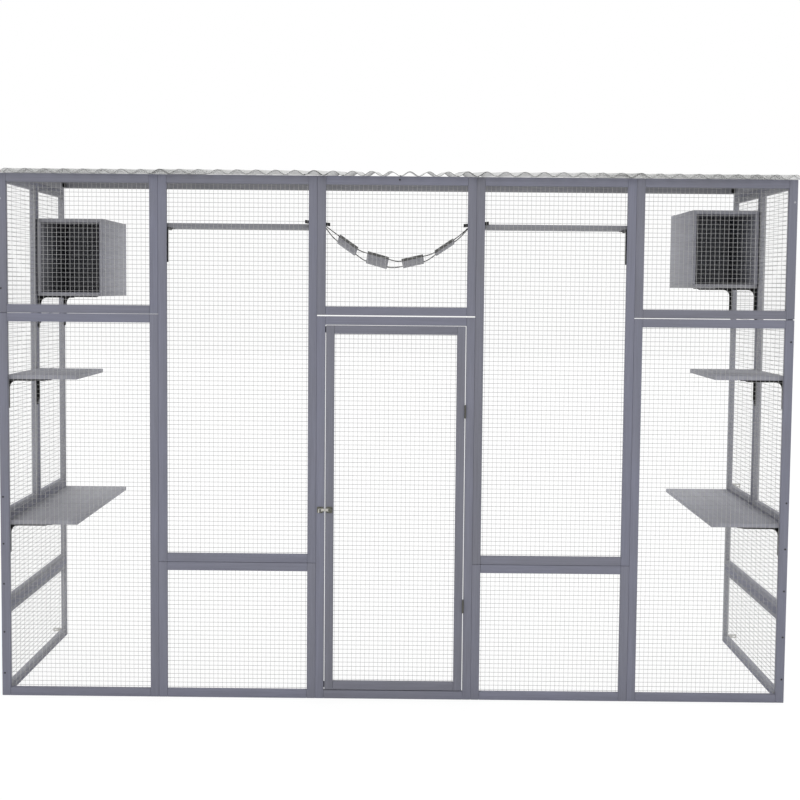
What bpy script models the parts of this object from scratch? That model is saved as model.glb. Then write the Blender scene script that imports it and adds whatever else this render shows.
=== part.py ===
"""Lean-to cat enclosure of painted timber panels and welded wire net.

Five bays of panels make the front wall, four panels make each end wall, and
the rear stays open where the enclosure is fixed against a house. A corrugated
roof rests on the front wall and on a raised beam at the rear. Inside are
shelves, two resting boxes and a hanging bridge, and the middle bay has a door.

X runs along the front wall, Y runs from the front wall to the rear, Z is up.
The origin is on the ground, in the middle of the front wall's bottom rail.
"""

import math

import bmesh
import bpy
from mathutils import Matrix, Vector

# Clearances
fit_gap = 0.0003
cut_overrun = 0.002

# Main sizes
wall_height = 1.991
enclosure_depth = 1.010
centre_bay_width = 0.597
side_bay_width = 0.599
end_bay_width = 0.6025

# Timber of the panels
stile_width = 0.032
rail_width = 0.032
timber_thickness = 0.020
eased_edge = 0.0015

# Wire net, of which the solid shows one wire in eleven
net_pitch = 0.017
net_shown_every = 11
net_wire = 0.0009
net_lap = 0.006
net_sunk = 0.0003

# Seams of the front wall
high_seam_height = 1.468
low_seam_height = 0.525
left_bay_slit = 0.0012
right_bay_slit = 0.0030
middle_bay_slit = 0.0050
plain_slit = 0.0010

# End walls
low_panel_height = 0.342

# Rear beam and roof
gable_height = 0.074
beam_height = 0.064
beam_thickness = 0.020
gable_tip = 0.0040
gable_sunk = 0.0002
sheet_thickness = 0.0012
wave_pitch = 0.0718
wave_height = 0.0180
wave_shift = -0.024
wave_steps = 8
sheet_count = 5
sheet_cover_steps = 66
sheet_lap_steps = 8
front_overhang = 0.030
rear_overhang = 0.004

# Door
hinge_side_gap = 0.0030
latch_side_gap = 0.0030
door_top_gap = 0.0020
door_bottom_gap = 0.0030

# Hinges
hinge_height = 0.050
hinge_centres = (1.109, 0.362)
hinge_leaf_thickness = 0.0010
hinge_leaf_depth = 0.016
knuckle_count = 5
knuckle_radius = 0.0030
knuckle_stand_off = 0.0005
pin_radius = 0.0012
bore_radius = 0.0015
round_sides = 16

# Latch
latch_height = 0.730
latch_plate_size = 0.024
latch_plate_thickness = 0.0015
latch_corner = 0.003
latch_hook_thickness = 0.0025
latch_hook_width = 0.010
latch_stud_radius = 0.0025
latch_stud_length = 0.0085
latch_bore_radius = 0.0029
latch_head_radius = 0.0048
latch_head_thickness = 0.0018
latch_slot_width = 0.0062
latch_slot_depth = 0.0052
latch_tab_drop = 0.006

# Door stops
stop_height = 0.024
stop_reach = 0.010
stop_seat = 0.020
stop_thickness = 0.0020
stop_inset = 0.006

# Brackets
bracket_arm = 0.168
bracket_leg = 0.132
bracket_width = 0.025
bracket_strap = 0.0030
bracket_rib = 0.0035
arm_rib_depth = 0.0042
leg_rib_depth = 0.0070
bracket_rib_end = 0.012
bracket_fillet = 0.024
bracket_sunk = 0.0003
fillet_steps = 5

# Shelves
board_thickness = 0.016
board_edge = 0.0015
side_shelf_reach = 0.268
upper_shelf_heights = (1.216, 1.237)
lower_shelf_heights = (0.660, 0.674)
high_shelf_drops = (0.195, 0.190)
high_shelf_reach = 0.205
high_shelf_board = 0.015
high_shelf_outer_lap = 0.018
high_shelf_inner_lap = 0.024
high_bracket_show = 0.0045

# Resting boxes
box_width = 0.270
box_height = 0.316
box_front_lap = 0.013
box_board = 0.015
box_top_drops = (0.145, 0.088)
box_wall_gap = 0.0030

# Hanging bridge
bridge_drop = 0.158
bridge_pin_drop = 0.163
bridge_reach = 0.140
slat_length = 0.084
slat_width = 0.170
slat_thickness = 0.012
slat_edge = 0.0010
slat_lean_degrees = (8.0, 11.5, 7.5, 3.0)
slat_place_shares = (-0.318, -0.125, 0.104, 0.307)
rope_spread = 0.140
rope_radius = 0.0020
rope_hole_radius = 0.0028
rope_gap_points = 3
rope_end_points = 6
rope_slat_points = 2

# Bridge hangers
strap_length = 0.095
strap_height = 0.016
strap_thickness = 0.0030
rod_radius = 0.0030
rod_bend = 0.008
rod_end = 0.016
rod_cap_radius = 0.0055
rod_cap_length = 0.0020
ring_wire_radius = 0.0020
ring_radius = 0.0085
ring_place = 0.006
rope_tie_spread = 0.005
rope_tie_stub = 0.004
ring_steps = 20

# Wall tabs
tab_length = 0.062
tab_height = 0.016
tab_thickness = 0.0020
tab_seat = 0.018
tab_slot_length = 0.012
tab_slot_width = 0.006
tab_slot_inset = 0.006
low_tab_height = 0.013
mid_tab_height = 0.698


def clear_scene():
    for old in list(bpy.data.objects):
        bpy.data.objects.remove(old, do_unlink=True)


def make_material(name, colour, roughness, metallic=0.0):
    material = bpy.data.materials.new(name)
    material.use_nodes = True
    shader = material.node_tree.nodes["Principled BSDF"]
    shader.inputs["Base Color"].default_value = (*colour, 1.0)
    shader.inputs["Roughness"].default_value = roughness
    shader.inputs["Metallic"].default_value = metallic
    material.diffuse_color = (*colour, 1.0)
    return material


clear_scene()
painted_timber = make_material("painted_timber", (0.21, 0.21, 0.26), 0.62)
roof_sheet = make_material("roof_sheet", (0.78, 0.79, 0.78), 0.35)
black_steel = make_material("black_steel", (0.02, 0.02, 0.02), 0.45)
zinc_steel = make_material("zinc_steel", (0.55, 0.53, 0.48), 0.35, 0.9)
dark_rope = make_material("dark_rope", (0.07, 0.07, 0.07), 0.9)


# Solids, each as a function that adds itself to a mesh being edited

def block(low, high):
    """A box between two corners."""
    def add(bm):
        size = Vector(high) - Vector(low)
        middle = (Vector(high) + Vector(low)) / 2
        matrix = Matrix.Translation(middle) @ Matrix.Diagonal((*size, 1.0))
        bmesh.ops.create_cube(bm, size=1.0, matrix=matrix)
    return add


def prism(outline, start, end, along):
    """An outline in the plane across one axis, swept along that axis."""
    def add(bm):
        order = {"X": (2, 0, 1), "Y": (0, 2, 1), "Z": (0, 1, 2)}[along]

        def corner(point, height):
            values = (point[0], point[1], height)
            return [values[order[axis]] for axis in range(3)]

        near = [bm.verts.new(corner(point, start)) for point in outline]
        far = [bm.verts.new(corner(point, end)) for point in outline]
        bm.faces.new(near)
        bm.faces.new(far)
        count = len(outline)
        for index in range(count):
            after = (index + 1) % count
            bm.faces.new((near[index], near[after], far[after], far[index]))
    return add


def round_bar(centre, radius, start, end, along, sides=round_sides):
    """A round bar whose centre is given in the plane across its axis."""
    turn = math.tau / sides
    outline = [
        (centre[0] + radius * math.cos(turn * step),
         centre[1] + radius * math.sin(turn * step))
        for step in range(sides)
    ]
    return prism(outline, start, end, along)


def swept_rod(path, radius, sides):
    """A round rod whose rings stand square to its path."""
    def add(bm):
        rings = []
        side = Vector((0.0, 0.0, 1.0))
        last = len(path) - 1
        for index, point in enumerate(path):
            ahead = path[min(index + 1, last)] - path[max(index - 1, 0)]
            ahead.normalize()
            across = side.cross(ahead).normalized()
            ring = []
            for step in range(sides):
                angle = math.tau * step / sides
                offset = across * math.cos(angle) + side * math.sin(angle)
                ring.append(bm.verts.new(point + offset * radius))
            rings.append(ring)
        for first, second in zip(rings, rings[1:]):
            for step in range(sides):
                after = (step + 1) % sides
                bm.faces.new((first[step], first[after], second[after], second[step]))
        bm.faces.new(rings[0])
        bm.faces.new(rings[-1])
    return add


def rectangle_ring(width, height, side, bottom, top, thickness):
    """A rectangular frame standing in the XZ plane."""
    def add(bm):
        outer = [(0.0, 0.0), (width, 0.0), (width, height), (0.0, height)]
        inner = [
            (side, bottom), (width - side, bottom),
            (width - side, height - top), (side, height - top),
        ]
        rows = []
        for depth in (0.0, thickness):
            rows.append([bm.verts.new((x, depth, z)) for x, z in outer])
            rows.append([bm.verts.new((x, depth, z)) for x, z in inner])
        outer_front, inner_front, outer_rear, inner_rear = rows
        loops = (
            (outer_front, inner_front), (inner_front, inner_rear),
            (inner_rear, outer_rear), (outer_rear, outer_front),
        )
        for one, other in loops:
            for index in range(4):
                after = (index + 1) % 4
                bm.faces.new((one[index], one[after], other[after], other[index]))
    return add


def build_mesh(name, *solids):
    bm = bmesh.new()
    for solid in solids:
        solid(bm)
    bmesh.ops.recalc_face_normals(bm, faces=bm.faces)
    mesh = bpy.data.meshes.new(name)
    bm.to_mesh(mesh)
    bm.free()
    return mesh


# The front wall's outer face is at Y zero in here
enclosure = bpy.data.objects.new("enclosure", None)
enclosure.location.y = -timber_thickness / 2
bpy.context.scene.collection.objects.link(enclosure)


def link(name, data, parent=enclosure, place=None):
    thing = bpy.data.objects.new(name, data)
    bpy.context.scene.collection.objects.link(thing)
    thing.parent = parent
    if place is not None:
        thing.matrix_basis = place
    return thing


def add_guide(owner, mesh, operation, tag):
    """A hidden helper that is joined to its owner or cut from it."""
    guide = link(f"{owner.name}_{tag}", mesh, parent=owner)
    guide.hide_render = True
    guide.display_type = "WIRE"
    step = owner.modifiers.new(tag, "BOOLEAN")
    step.operation = operation
    step.solver = "EXACT"
    step.object = guide
    return guide


def piece(name, solid, material, joined=(), cut=(), edge=0.0, place=None, parent=enclosure):
    """One named piece: a body, what is joined to it and what is cut from it."""
    made = link(name, build_mesh(name, solid), parent, place)
    made.data.materials.append(material)
    if edge:
        bevel = made.modifiers.new("eased_edges", "BEVEL")
        bevel.width = edge
        bevel.segments = 1
        bevel.limit_method = "ANGLE"
    for index, other in enumerate(joined):
        add_guide(made, build_mesh(name + "_join", other), "UNION", f"join_{index}")
    for index, other in enumerate(cut):
        add_guide(made, build_mesh(name + "_cut", other), "DIFFERENCE", f"cut_{index}")
    return made


# Places along the front wall, from left to right
inner_seam = centre_bay_width / 2
outer_seam = inner_seam + side_bay_width
right_end = outer_seam + end_bay_width
left_end = -right_end
bay_edges = (left_end, -outer_seam, -inner_seam, inner_seam, outer_seam, right_end)
net_face = timber_thickness + net_wire - net_sunk
half_gap = fit_gap / 2


def net_lines(start, end):
    """Pairs of wire edges across an opening, with the wires centred in it."""
    spacing = net_pitch * net_shown_every
    count = max(1, math.floor((end - start) / spacing))
    middle = (start + end) / 2
    pairs = []
    for index in range(count):
        centre = middle + (index - (count - 1) / 2) * spacing
        pairs.append((centre - net_wire / 2, centre + net_wire / 2))
    return pairs


def net_sheet(width, height, side, bottom, top):
    """The welded net as one flat sheet of crossing wires."""
    def add(bm):
        grid = []
        ends = (
            (side - net_lap, width - side + net_lap),
            (bottom - net_lap, height - top + net_lap),
        )
        openings = ((side, width - side), (bottom, height - top))
        for (start, end), opening in zip(ends, openings):
            marks = [(start, False)]
            for low, high in net_lines(*opening):
                marks.append((low, True))
                marks.append((high, False))
            grid.append((marks, end))
        columns, rows = [
            [(mark, wire, after) for (mark, wire), after
             in zip(marks, [m for m, _ in marks[1:]] + [end])]
            for marks, end in grid
        ]
        level = timber_thickness - net_sunk
        known = {}

        def vertex(x, z):
            key = (x, z)
            if key not in known:
                known[key] = bm.verts.new((x, level, z))
            return known[key]

        for x0, column_wire, x1 in columns:
            for z0, row_wire, z1 in rows:
                if column_wire or row_wire:
                    corners = ((x0, z0), (x0, z1), (x1, z1), (x1, z0))
                    bm.faces.new([vertex(x, z) for x, z in corners])
    return add


def add_net(panel, width, height, side, bottom, top):
    sheet = net_sheet(width, height, side, bottom, top)
    bm = bmesh.new()
    sheet(bm)
    mesh = bpy.data.meshes.new(panel.name + "_net")
    bm.to_mesh(mesh)
    bm.free()
    guide = add_guide(panel, mesh, "UNION", "net")
    solid = guide.modifiers.new("wire_thickness", "SOLIDIFY")
    solid.thickness = net_wire
    solid.offset = 1.0
    return guide


def make_panel(name, width, height, place, with_net=True, parent=enclosure):
    """A timber frame whose rails stand between its stiles, with its net."""
    ring = rectangle_ring(
        width, height, stile_width, rail_width, rail_width, timber_thickness)
    panel = piece(name, ring, painted_timber, edge=eased_edge, place=place, parent=parent)
    if with_net:
        add_net(panel, width, height, stile_width, rail_width, rail_width)
    return panel


# Front wall
left_seam = (high_seam_height, left_bay_slit)
right_seam = (high_seam_height, right_bay_slit)
plain_seam = (low_seam_height, plain_slit)
middle_seam = (high_seam_height, middle_bay_slit)
bay_seams = (left_seam, plain_seam, middle_seam, plain_seam, right_seam)
bay_names = ("bay_1", "bay_2", "bay_3", "bay_4", "bay_5")

for bay, (seam, slit) in enumerate(bay_seams):
    start = bay_edges[bay] + (half_gap if bay else 0.0)
    end = bay_edges[bay + 1] - (half_gap if bay < len(bay_seams) - 1 else 0.0)
    width = end - start
    lower_top = seam - slit / 2
    upper_bottom = seam + slit / 2
    is_door_bay = bay == len(bay_seams) // 2
    lower_name = "door_frame" if is_door_bay else f"{bay_names[bay]}_lower"
    make_panel(
        lower_name, width, lower_top,
        Matrix.Translation((start, 0.0, 0.0)), with_net=not is_door_bay)
    make_panel(
        f"{bay_names[bay]}_upper", width, wall_height - upper_bottom,
        Matrix.Translation((start, 0.0, upper_bottom)))

# End walls, two wide low panels with two tall panels on them
end_start = timber_thickness + fit_gap
end_length = enclosure_depth - end_start
tall_width = (end_length - fit_gap) / 2
tall_start = 2 * (low_panel_height + fit_gap)
tall_height = wall_height - tall_start
post_middle = end_start + tall_width + half_gap

# Each end wall's thickness runs inwards from its outer face
end_walls = (
    ("left", left_end, -1.0),
    ("right", right_end, 1.0),
)


def end_place(outer_x, hand, near_y, width, height):
    """Where a panel of an end wall goes, given its edge nearer the front."""
    turn = Matrix.Rotation(hand * math.pi / 2, 4, "Z")
    origin_y = near_y if hand > 0 else near_y + width
    return Matrix.Translation((outer_x, origin_y, height)) @ turn


for side_name, outer_x, hand in end_walls:
    for level, level_name in enumerate(("low", "middle")):
        bottom = level * (low_panel_height + fit_gap)
        make_panel(
            f"{side_name}_{level_name}", end_length, low_panel_height,
            end_place(outer_x, hand, end_start, end_length, bottom))
    for slot, slot_name in enumerate(("front", "rear")):
        near_y = end_start + slot * (tall_width + fit_gap)
        make_panel(
            f"{side_name}_tall_{slot_name}", tall_width, tall_height,
            end_place(outer_x, hand, near_y, tall_width, tall_start))

# Rear beam, with the tapered boards that fill the end walls up to the roof
gable_bottom = wall_height + fit_gap
beam_top = gable_bottom + gable_height
beam_bottom = beam_top - beam_height
beam_front = enclosure_depth - beam_thickness
roof_slope = math.atan2(beam_top - wall_height, beam_front)
gable_near = gable_tip / math.tan(roof_slope)
gable_far = enclosure_depth - gable_sunk
gable_outline = (
    (gable_near, gable_bottom), (gable_far, gable_bottom),
    (gable_far, beam_top - gable_sunk), (beam_front, beam_top - gable_sunk),
    (gable_near, wall_height + gable_tip))
gable_boards = [
    prism(
        gable_outline, outer_x - hand * gable_sunk, outer_x - hand * timber_thickness, "X")
    for side_name, outer_x, hand in end_walls]
piece(
    "rear_beam",
    block((left_end, beam_front, beam_bottom), (right_end, enclosure_depth, beam_top)),
    painted_timber, joined=gable_boards, edge=eased_edge)

# Roof, laid in alternation so that each lap nests wave in wave
roof_length = (enclosure_depth + front_overhang + rear_overhang) / math.cos(roof_slope)
wave_step = wave_pitch / wave_steps
roof_steps = sheet_count * sheet_cover_steps + sheet_lap_steps
roof_start = -roof_steps * wave_step / 2


def wave_level(x):
    """Height of a sheet's lower face above the level of its troughs."""
    swing = math.cos(math.tau * (x - wave_shift) / wave_pitch)
    return (wave_height - sheet_thickness) * (1.0 + swing) / 2


def roof_solid(first_step):
    steps = sheet_cover_steps + sheet_lap_steps
    lower = []
    for step in range(steps + 1):
        x = roof_start + (first_step + step) * wave_step
        lower.append((x, wave_level(x)))
    upper = [(x, z + sheet_thickness) for x, z in reversed(lower)]

    def add(bm):
        near = -front_overhang / math.cos(roof_slope)
        far = near + roof_length
        rows = []
        for y in (near, far):
            rows.append([
                [bm.verts.new((x, y, z)) for x, z in lower],
                [bm.verts.new((x, y, z)) for x, z in reversed(upper)],
            ])
        (near_low, near_high), (far_low, far_high) = rows
        for index in range(steps):
            after = index + 1
            bm.faces.new((near_low[index], near_low[after], far_low[after], far_low[index]))
            bm.faces.new((near_high[index], far_high[index], far_high[after], near_high[after]))
            bm.faces.new((near_low[index], near_high[index], near_high[after], near_low[after]))
            bm.faces.new((far_low[index], far_low[after], far_high[after], far_high[index]))
        for index in (0, steps):
            bm.faces.new((near_low[index], near_high[index], far_high[index], far_low[index]))
    return add


for sheet in range(sheet_count):
    raised = (sheet % 2) * (sheet_thickness + fit_gap)
    lift = (fit_gap + raised) / math.cos(roof_slope)
    place = Matrix.Translation((0.0, 0.0, wall_height + lift))
    place = place @ Matrix.Rotation(roof_slope, 4, "X")
    piece(
        f"roof_sheet_{sheet + 1}", roof_solid(sheet * sheet_cover_steps),
        roof_sheet, place=place)


# Brackets, drawn with the wall at Y zero and the arm's upper face at Z zero
def bracket_strap_solid(centre):
    outline = (
        (0.0, 0.0), (bracket_arm, 0.0), (bracket_arm, -bracket_strap),
        (bracket_strap, -bracket_strap), (bracket_strap, -bracket_leg), (0.0, -bracket_leg),
    )
    half = bracket_width / 2
    return prism(outline, centre - half, centre + half, "X")


def bracket_rib_solid(centre):
    """The raised rib that stiffens the strap and rounds its inner corner."""
    middle = bracket_strap / 2
    arm_face = bracket_strap + arm_rib_depth
    leg_face = bracket_strap + leg_rib_depth
    arm_end = bracket_arm - bracket_rib_end
    leg_end = bracket_leg - bracket_rib_end
    arm_bend = arm_face + bracket_fillet
    leg_bend = leg_face + bracket_fillet
    outline = [(middle, -middle), (arm_end, -middle), (arm_end - bracket_rib_end, -arm_face)]
    for step in range(fillet_steps + 1):
        angle = math.pi / 2 * (1.0 + step / fillet_steps)
        outline.append((
            leg_bend + bracket_fillet * math.cos(angle),
            -arm_bend + bracket_fillet * math.sin(angle),
        ))
    outline += [(leg_face, -leg_end + bracket_rib_end), (middle, -leg_end)]
    half = bracket_rib / 2
    return prism(outline, centre - half, centre + half, "X")


def bracket_solids(centres):
    solids = []
    for centre in centres:
        solids.append(bracket_strap_solid(centre))
        solids.append(bracket_rib_solid(centre))
    return solids


def shifted(solid, drop):
    """The same solid, moved down."""
    def add(bm):
        known = set(bm.verts)
        solid(bm)
        fresh = [vertex for vertex in bm.verts if vertex not in known]
        bmesh.ops.translate(bm, verts=fresh, vec=(0.0, 0.0, -drop))
    return add


def wall_turn(hand, wall_x):
    """Turns bracket drawing axes so that the wall is an end wall."""
    turn = Matrix.Rotation(hand * math.pi / 2, 4, "Z")
    return Matrix.Translation((wall_x, 0.0, 0.0)) @ turn


def make_shelf(name, start, end, reach, thickness, centres, place):
    """A board with the brackets that carry it, drawn like the brackets."""
    board = block((start, 0.0, 0.0), (end, reach, thickness))
    brackets = [shifted(solid, -bracket_sunk) for solid in bracket_solids(centres)]
    return piece(name, board, painted_timber, joined=brackets, edge=board_edge, place=place)


# Side shelves, whose brackets stand on the stiles of the end walls
front_stile = end_start + stile_width / 2
rear_stile = enclosure_depth - stile_width / 2
middle_stile = post_middle - half_gap - stile_width / 2
shelf_front = net_face + fit_gap
inner_wall = net_face + fit_gap

for index, (side_name, outer_x, hand) in enumerate(end_walls):
    wall_x = outer_x - hand * inner_wall
    for level_name, heights, shelf_rear, rear_centre in (
        ("upper", upper_shelf_heights, middle_stile + stile_width / 2, middle_stile),
        ("lower", lower_shelf_heights, enclosure_depth, rear_stile),
    ):
        ends = (shelf_front, shelf_rear)
        centres = (front_stile, rear_centre)
        if hand < 0:
            ends = (-ends[1], -ends[0])
            centres = tuple(-centre for centre in centres)
        place = Matrix.Translation((0.0, 0.0, heights[index])) @ wall_turn(hand, wall_x)
        make_shelf(
            f"{side_name}_shelf_{level_name}", *ends, side_shelf_reach,
            board_thickness, centres, place)

# High shelves behind the front wall, in the second and fourth bays
shelf_back_off = strap_thickness + fit_gap
for index, hand in enumerate((-1.0, 1.0)):
    outer_edge = outer_seam + high_shelf_outer_lap - stile_width
    inner_edge = inner_seam + stile_width - high_shelf_inner_lap
    outer_centre = outer_seam - stile_width - high_bracket_show + bracket_width / 2
    inner_centre = inner_edge + bracket_width / 2
    ends = sorted((hand * outer_edge, hand * inner_edge))
    centres = (hand * outer_centre, hand * inner_centre)
    level = wall_height - high_shelf_drops[index]
    place = Matrix.Translation((0.0, net_face + fit_gap, level))
    board = block(
        (ends[0], shelf_back_off, 0.0),
        (ends[1], high_shelf_reach, high_shelf_board))
    brackets = [shifted(solid, -bracket_sunk) for solid in bracket_solids(centres)]
    piece(
        f"high_shelf_{'left' if hand < 0 else 'right'}", board, painted_timber,
        joined=brackets, edge=board_edge, place=place)

# Resting boxes, open to the front, each on two brackets of the end wall
box_rear = enclosure_depth
box_front = post_middle - box_front_lap
for index, (side_name, outer_x, hand) in enumerate(end_walls):
    floor = wall_height - box_top_drops[index] - box_height
    near_x = outer_x - hand * (inner_wall + box_wall_gap)
    far_x = near_x - hand * box_width
    low_x, high_x = sorted((near_x, far_x))
    room = block(
        (low_x + box_board, box_front - cut_overrun, floor + box_board),
        (high_x - box_board, box_rear - box_board, floor + box_height - box_board))
    piece(
        f"{side_name}_box",
        block((low_x, box_front, floor), (high_x, box_rear, floor + box_height)),
        painted_timber, cut=(room,), edge=board_edge)
    wall_x = outer_x - hand * inner_wall
    place = Matrix.Translation((0.0, 0.0, floor - fit_gap)) @ wall_turn(hand, wall_x)
    for slot_name, centre in (
        ("front", post_middle + half_gap + stile_width / 2),
        ("rear", rear_stile),
    ):
        piece(
            f"{side_name}_box_bracket_{slot_name}", bracket_strap_solid(hand * centre),
            black_steel, joined=(bracket_rib_solid(hand * centre),), place=place)

# Door leaf, which turns about the pins of its hinges
opening_left = -inner_seam + half_gap + stile_width
opening_right = inner_seam - half_gap - stile_width
opening_bottom = rail_width
opening_top = high_seam_height - middle_bay_slit / 2 - rail_width
door_left = opening_left + latch_side_gap
door_right = opening_right - hinge_side_gap
door_bottom = opening_bottom + door_bottom_gap
door_top = opening_top - door_top_gap
hinge_x = opening_right - hinge_side_gap / 2
hinge_y = -(knuckle_radius + knuckle_stand_off)
hinge_axis = link("door_axis", None, place=Matrix.Translation((hinge_x, hinge_y, 0.0)))
make_panel(
    "door_leaf", door_right - door_left, door_top - door_bottom,
    Matrix.Translation((door_left - hinge_x, -hinge_y, door_bottom)), parent=hinge_axis)


def hinge_leaf(centre, for_door):
    """A leaf in the gap with its own knuckles round the pin's axis."""
    hand = -1.0 if for_door else 1.0
    bottom = centre - hinge_height / 2
    step_height = hinge_height / knuckle_count
    outer = hand * (hinge_side_gap / 2 - fit_gap)
    inner = outer - hand * hinge_leaf_thickness
    low, high = sorted((outer, inner))
    plate_front = -hinge_y + fit_gap
    plate = block(
        (low, plate_front, bottom),
        (high, plate_front + hinge_leaf_depth, bottom + hinge_height))
    root = plate_front + fit_gap
    outline = [(high, root), (low, root)]
    first = math.acos(low / knuckle_radius)
    last = math.tau + math.acos(high / knuckle_radius)
    for step in range(round_sides + 1):
        angle = first + (last - first) * step / round_sides
        outline.append((knuckle_radius * math.cos(angle), knuckle_radius * math.sin(angle)))
    others = []
    for knuckle in range(knuckle_count):
        if knuckle % 2 == (1 if for_door else 0):
            start = bottom + knuckle * step_height + half_gap
            others.append(prism(outline, start, start + step_height - fit_gap, "Z"))
    bores = []
    if for_door:
        bores.append(round_bar(
            (0.0, 0.0), bore_radius, bottom - cut_overrun,
            bottom + hinge_height + cut_overrun, "Z"))
    if not for_door:
        pin = round_bar(
            (0.0, 0.0), pin_radius, bottom + fit_gap, bottom + hinge_height - fit_gap, "Z")
        others.append(pin)
    return plate, others, bores


for centre, hinge_name in zip(hinge_centres, ("top", "bottom")):
    fixed_place = Matrix.Translation((hinge_x, hinge_y, 0.0))
    plate, others, _ = hinge_leaf(centre, False)
    piece(f"hinge_{hinge_name}_frame_leaf", plate, zinc_steel, others, place=fixed_place)
    plate, others, bores = hinge_leaf(centre, True)
    piece(
        f"hinge_{hinge_name}_door_leaf", plate, zinc_steel, others, bores,
        parent=hinge_axis)


# Latch, a hook that drops over a stud on the frame
def cut_corner_plate(half_width, half_height, corner):
    return (
        (-half_width + corner, -half_height), (half_width - corner, -half_height),
        (half_width, -half_height + corner), (half_width, half_height - corner),
        (half_width - corner, half_height), (-half_width + corner, half_height),
        (-half_width, half_height - corner), (-half_width, -half_height + corner),
    )


plate_half = latch_plate_size / 2
plate_outline = cut_corner_plate(plate_half, plate_half, latch_corner)
pivot_x = door_left + stile_width / 2
stud_x = opening_left - stile_width / 2
hook_reach = pivot_x - stud_x
plate_near = -fit_gap
plate_far = plate_near - latch_plate_thickness
hook_near = plate_far - fit_gap
hook_far = hook_near - latch_hook_thickness
head_near = hook_far - fit_gap
head_far = head_near - latch_head_thickness
stud_far = plate_near - latch_stud_length

piece(
    "latch_keeper", prism(plate_outline, plate_near, plate_far, "Y"), zinc_steel,
    joined=(round_bar((0.0, 0.0), latch_stud_radius, plate_near - fit_gap, stud_far, "Y"),),
    place=Matrix.Translation((stud_x, 0.0, latch_height)))
latch_plate = piece(
    "latch_plate", prism(plate_outline, plate_near, plate_far, "Y"), zinc_steel,
    joined=(
        round_bar((0.0, 0.0), latch_stud_radius, plate_near - fit_gap, head_far, "Y"),
        round_bar((0.0, 0.0), latch_head_radius, head_near, head_far, "Y"),
    ),
    place=Matrix.Translation((pivot_x - hinge_x, -hinge_y, latch_height)),
    parent=hinge_axis)

hook_half = latch_hook_width / 2
hook_tip = hook_reach + hook_half + latch_corner
hook_outline = (
    (hook_half, -hook_half + latch_corner), (hook_half, hook_half - latch_corner),
    (hook_half - latch_corner, hook_half), (-hook_tip + latch_corner, hook_half),
    (-hook_tip, hook_half - latch_corner), (-hook_tip, -hook_half - latch_tab_drop),
    (-hook_tip + latch_corner, -hook_half - latch_tab_drop),
    (-hook_reach + latch_slot_width / 2 + latch_corner, -hook_half),
    (hook_half - latch_corner, -hook_half),
)
slot_top = latch_slot_width / 2 - latch_stud_radius
slot = block(
    (-hook_reach - latch_slot_width / 2, hook_far - cut_overrun,
     -hook_half - latch_tab_drop - cut_overrun),
    (-hook_reach + latch_slot_width / 2, hook_near + cut_overrun,
     latch_stud_radius + fit_gap))
piece(
    "latch_hook", prism(hook_outline, hook_near, hook_far, "Y"), zinc_steel,
    cut=(
        slot,
        round_bar(
            (0.0, 0.0), latch_bore_radius, hook_near + cut_overrun,
            hook_far - cut_overrun, "Y"),
    ),
    place=Matrix.Translation((pivot_x - hinge_x, -hinge_y, latch_height)),
    parent=hinge_axis)

# Door stops behind the latch side of the opening
stop_tongue = net_face + fit_gap
for stop_name, stop_bottom in (
    ("top", opening_top - stop_inset - stop_height),
    ("bottom", opening_bottom + stop_inset),
):
    seat = block(
        (opening_left - stop_seat, timber_thickness + fit_gap, stop_bottom),
        (opening_left, stop_tongue + stop_thickness, stop_bottom + stop_height))
    tongue = block(
        (opening_left - fit_gap, stop_tongue, stop_bottom),
        (opening_left + stop_reach, stop_tongue + stop_thickness, stop_bottom + stop_height))
    piece(f"door_stop_{stop_name}", seat, black_steel, joined=(tongue,))


# Hanging bridge, whose slats follow a sagging curve between two pins
bridge_span = 2 * (inner_seam - ring_place)
bridge_pin_height = wall_height - bridge_pin_drop
swing_axis = link(
    "bridge_axis", None,
    place=Matrix.Translation((0.0, bridge_reach, bridge_pin_height)))


def slat_frame(share, lean_degrees):
    """A slat's place under the swing axis, along the curve of the bridge."""
    half = bridge_span / 2
    x = share * centre_bay_width
    way_out = x / half
    level = bridge_drop * (way_out * way_out - 1.0)
    slope = 2 * bridge_drop / half * way_out
    turn = Matrix.Rotation(-math.atan(slope), 4, "Y")
    lean = Matrix.Rotation(-math.radians(lean_degrees), 4, "X")
    return Matrix.Translation((x, 0.0, level)) @ turn @ lean


slat_half = slat_length / 2
slat_solid = block(
    (-slat_half, -slat_width / 2, -slat_thickness / 2),
    (slat_half, slat_width / 2, slat_thickness / 2))
hole_rows = (-rope_spread / 2, rope_spread / 2)
slat_frames = [
    slat_frame(share, lean) for share, lean in zip(slat_place_shares, slat_lean_degrees)]
for number, frame in enumerate(slat_frames, 1):
    holes = [
        round_bar(
            (row, 0.0), rope_hole_radius, -slat_half - cut_overrun,
            slat_half + cut_overrun, "X")
        for row in hole_rows
    ]
    piece(
        f"bridge_slat_{number}", slat_solid, painted_timber, cut=holes,
        edge=slat_edge, place=frame, parent=swing_axis)


def smooth_run(start, start_way, end, end_way, count):
    """Points inside a smooth run that leaves and arrives in given ways."""
    pull = (end - start).length
    found = []
    for index in range(1, count + 1):
        t = index / (count + 1)
        square, cube = t * t, t * t * t
        found.append(
            start * (2 * cube - 3 * square + 1)
            + start_way * pull * (cube - 2 * square + t)
            + end * (3 * square - 2 * cube)
            + end_way * pull * (cube - square))
    return found


ring_drop = ring_radius - ring_wire_radius - rod_radius - fit_gap
tie_level = -ring_drop - ring_radius * math.cos(math.asin(rope_tie_spread / ring_radius))


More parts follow.
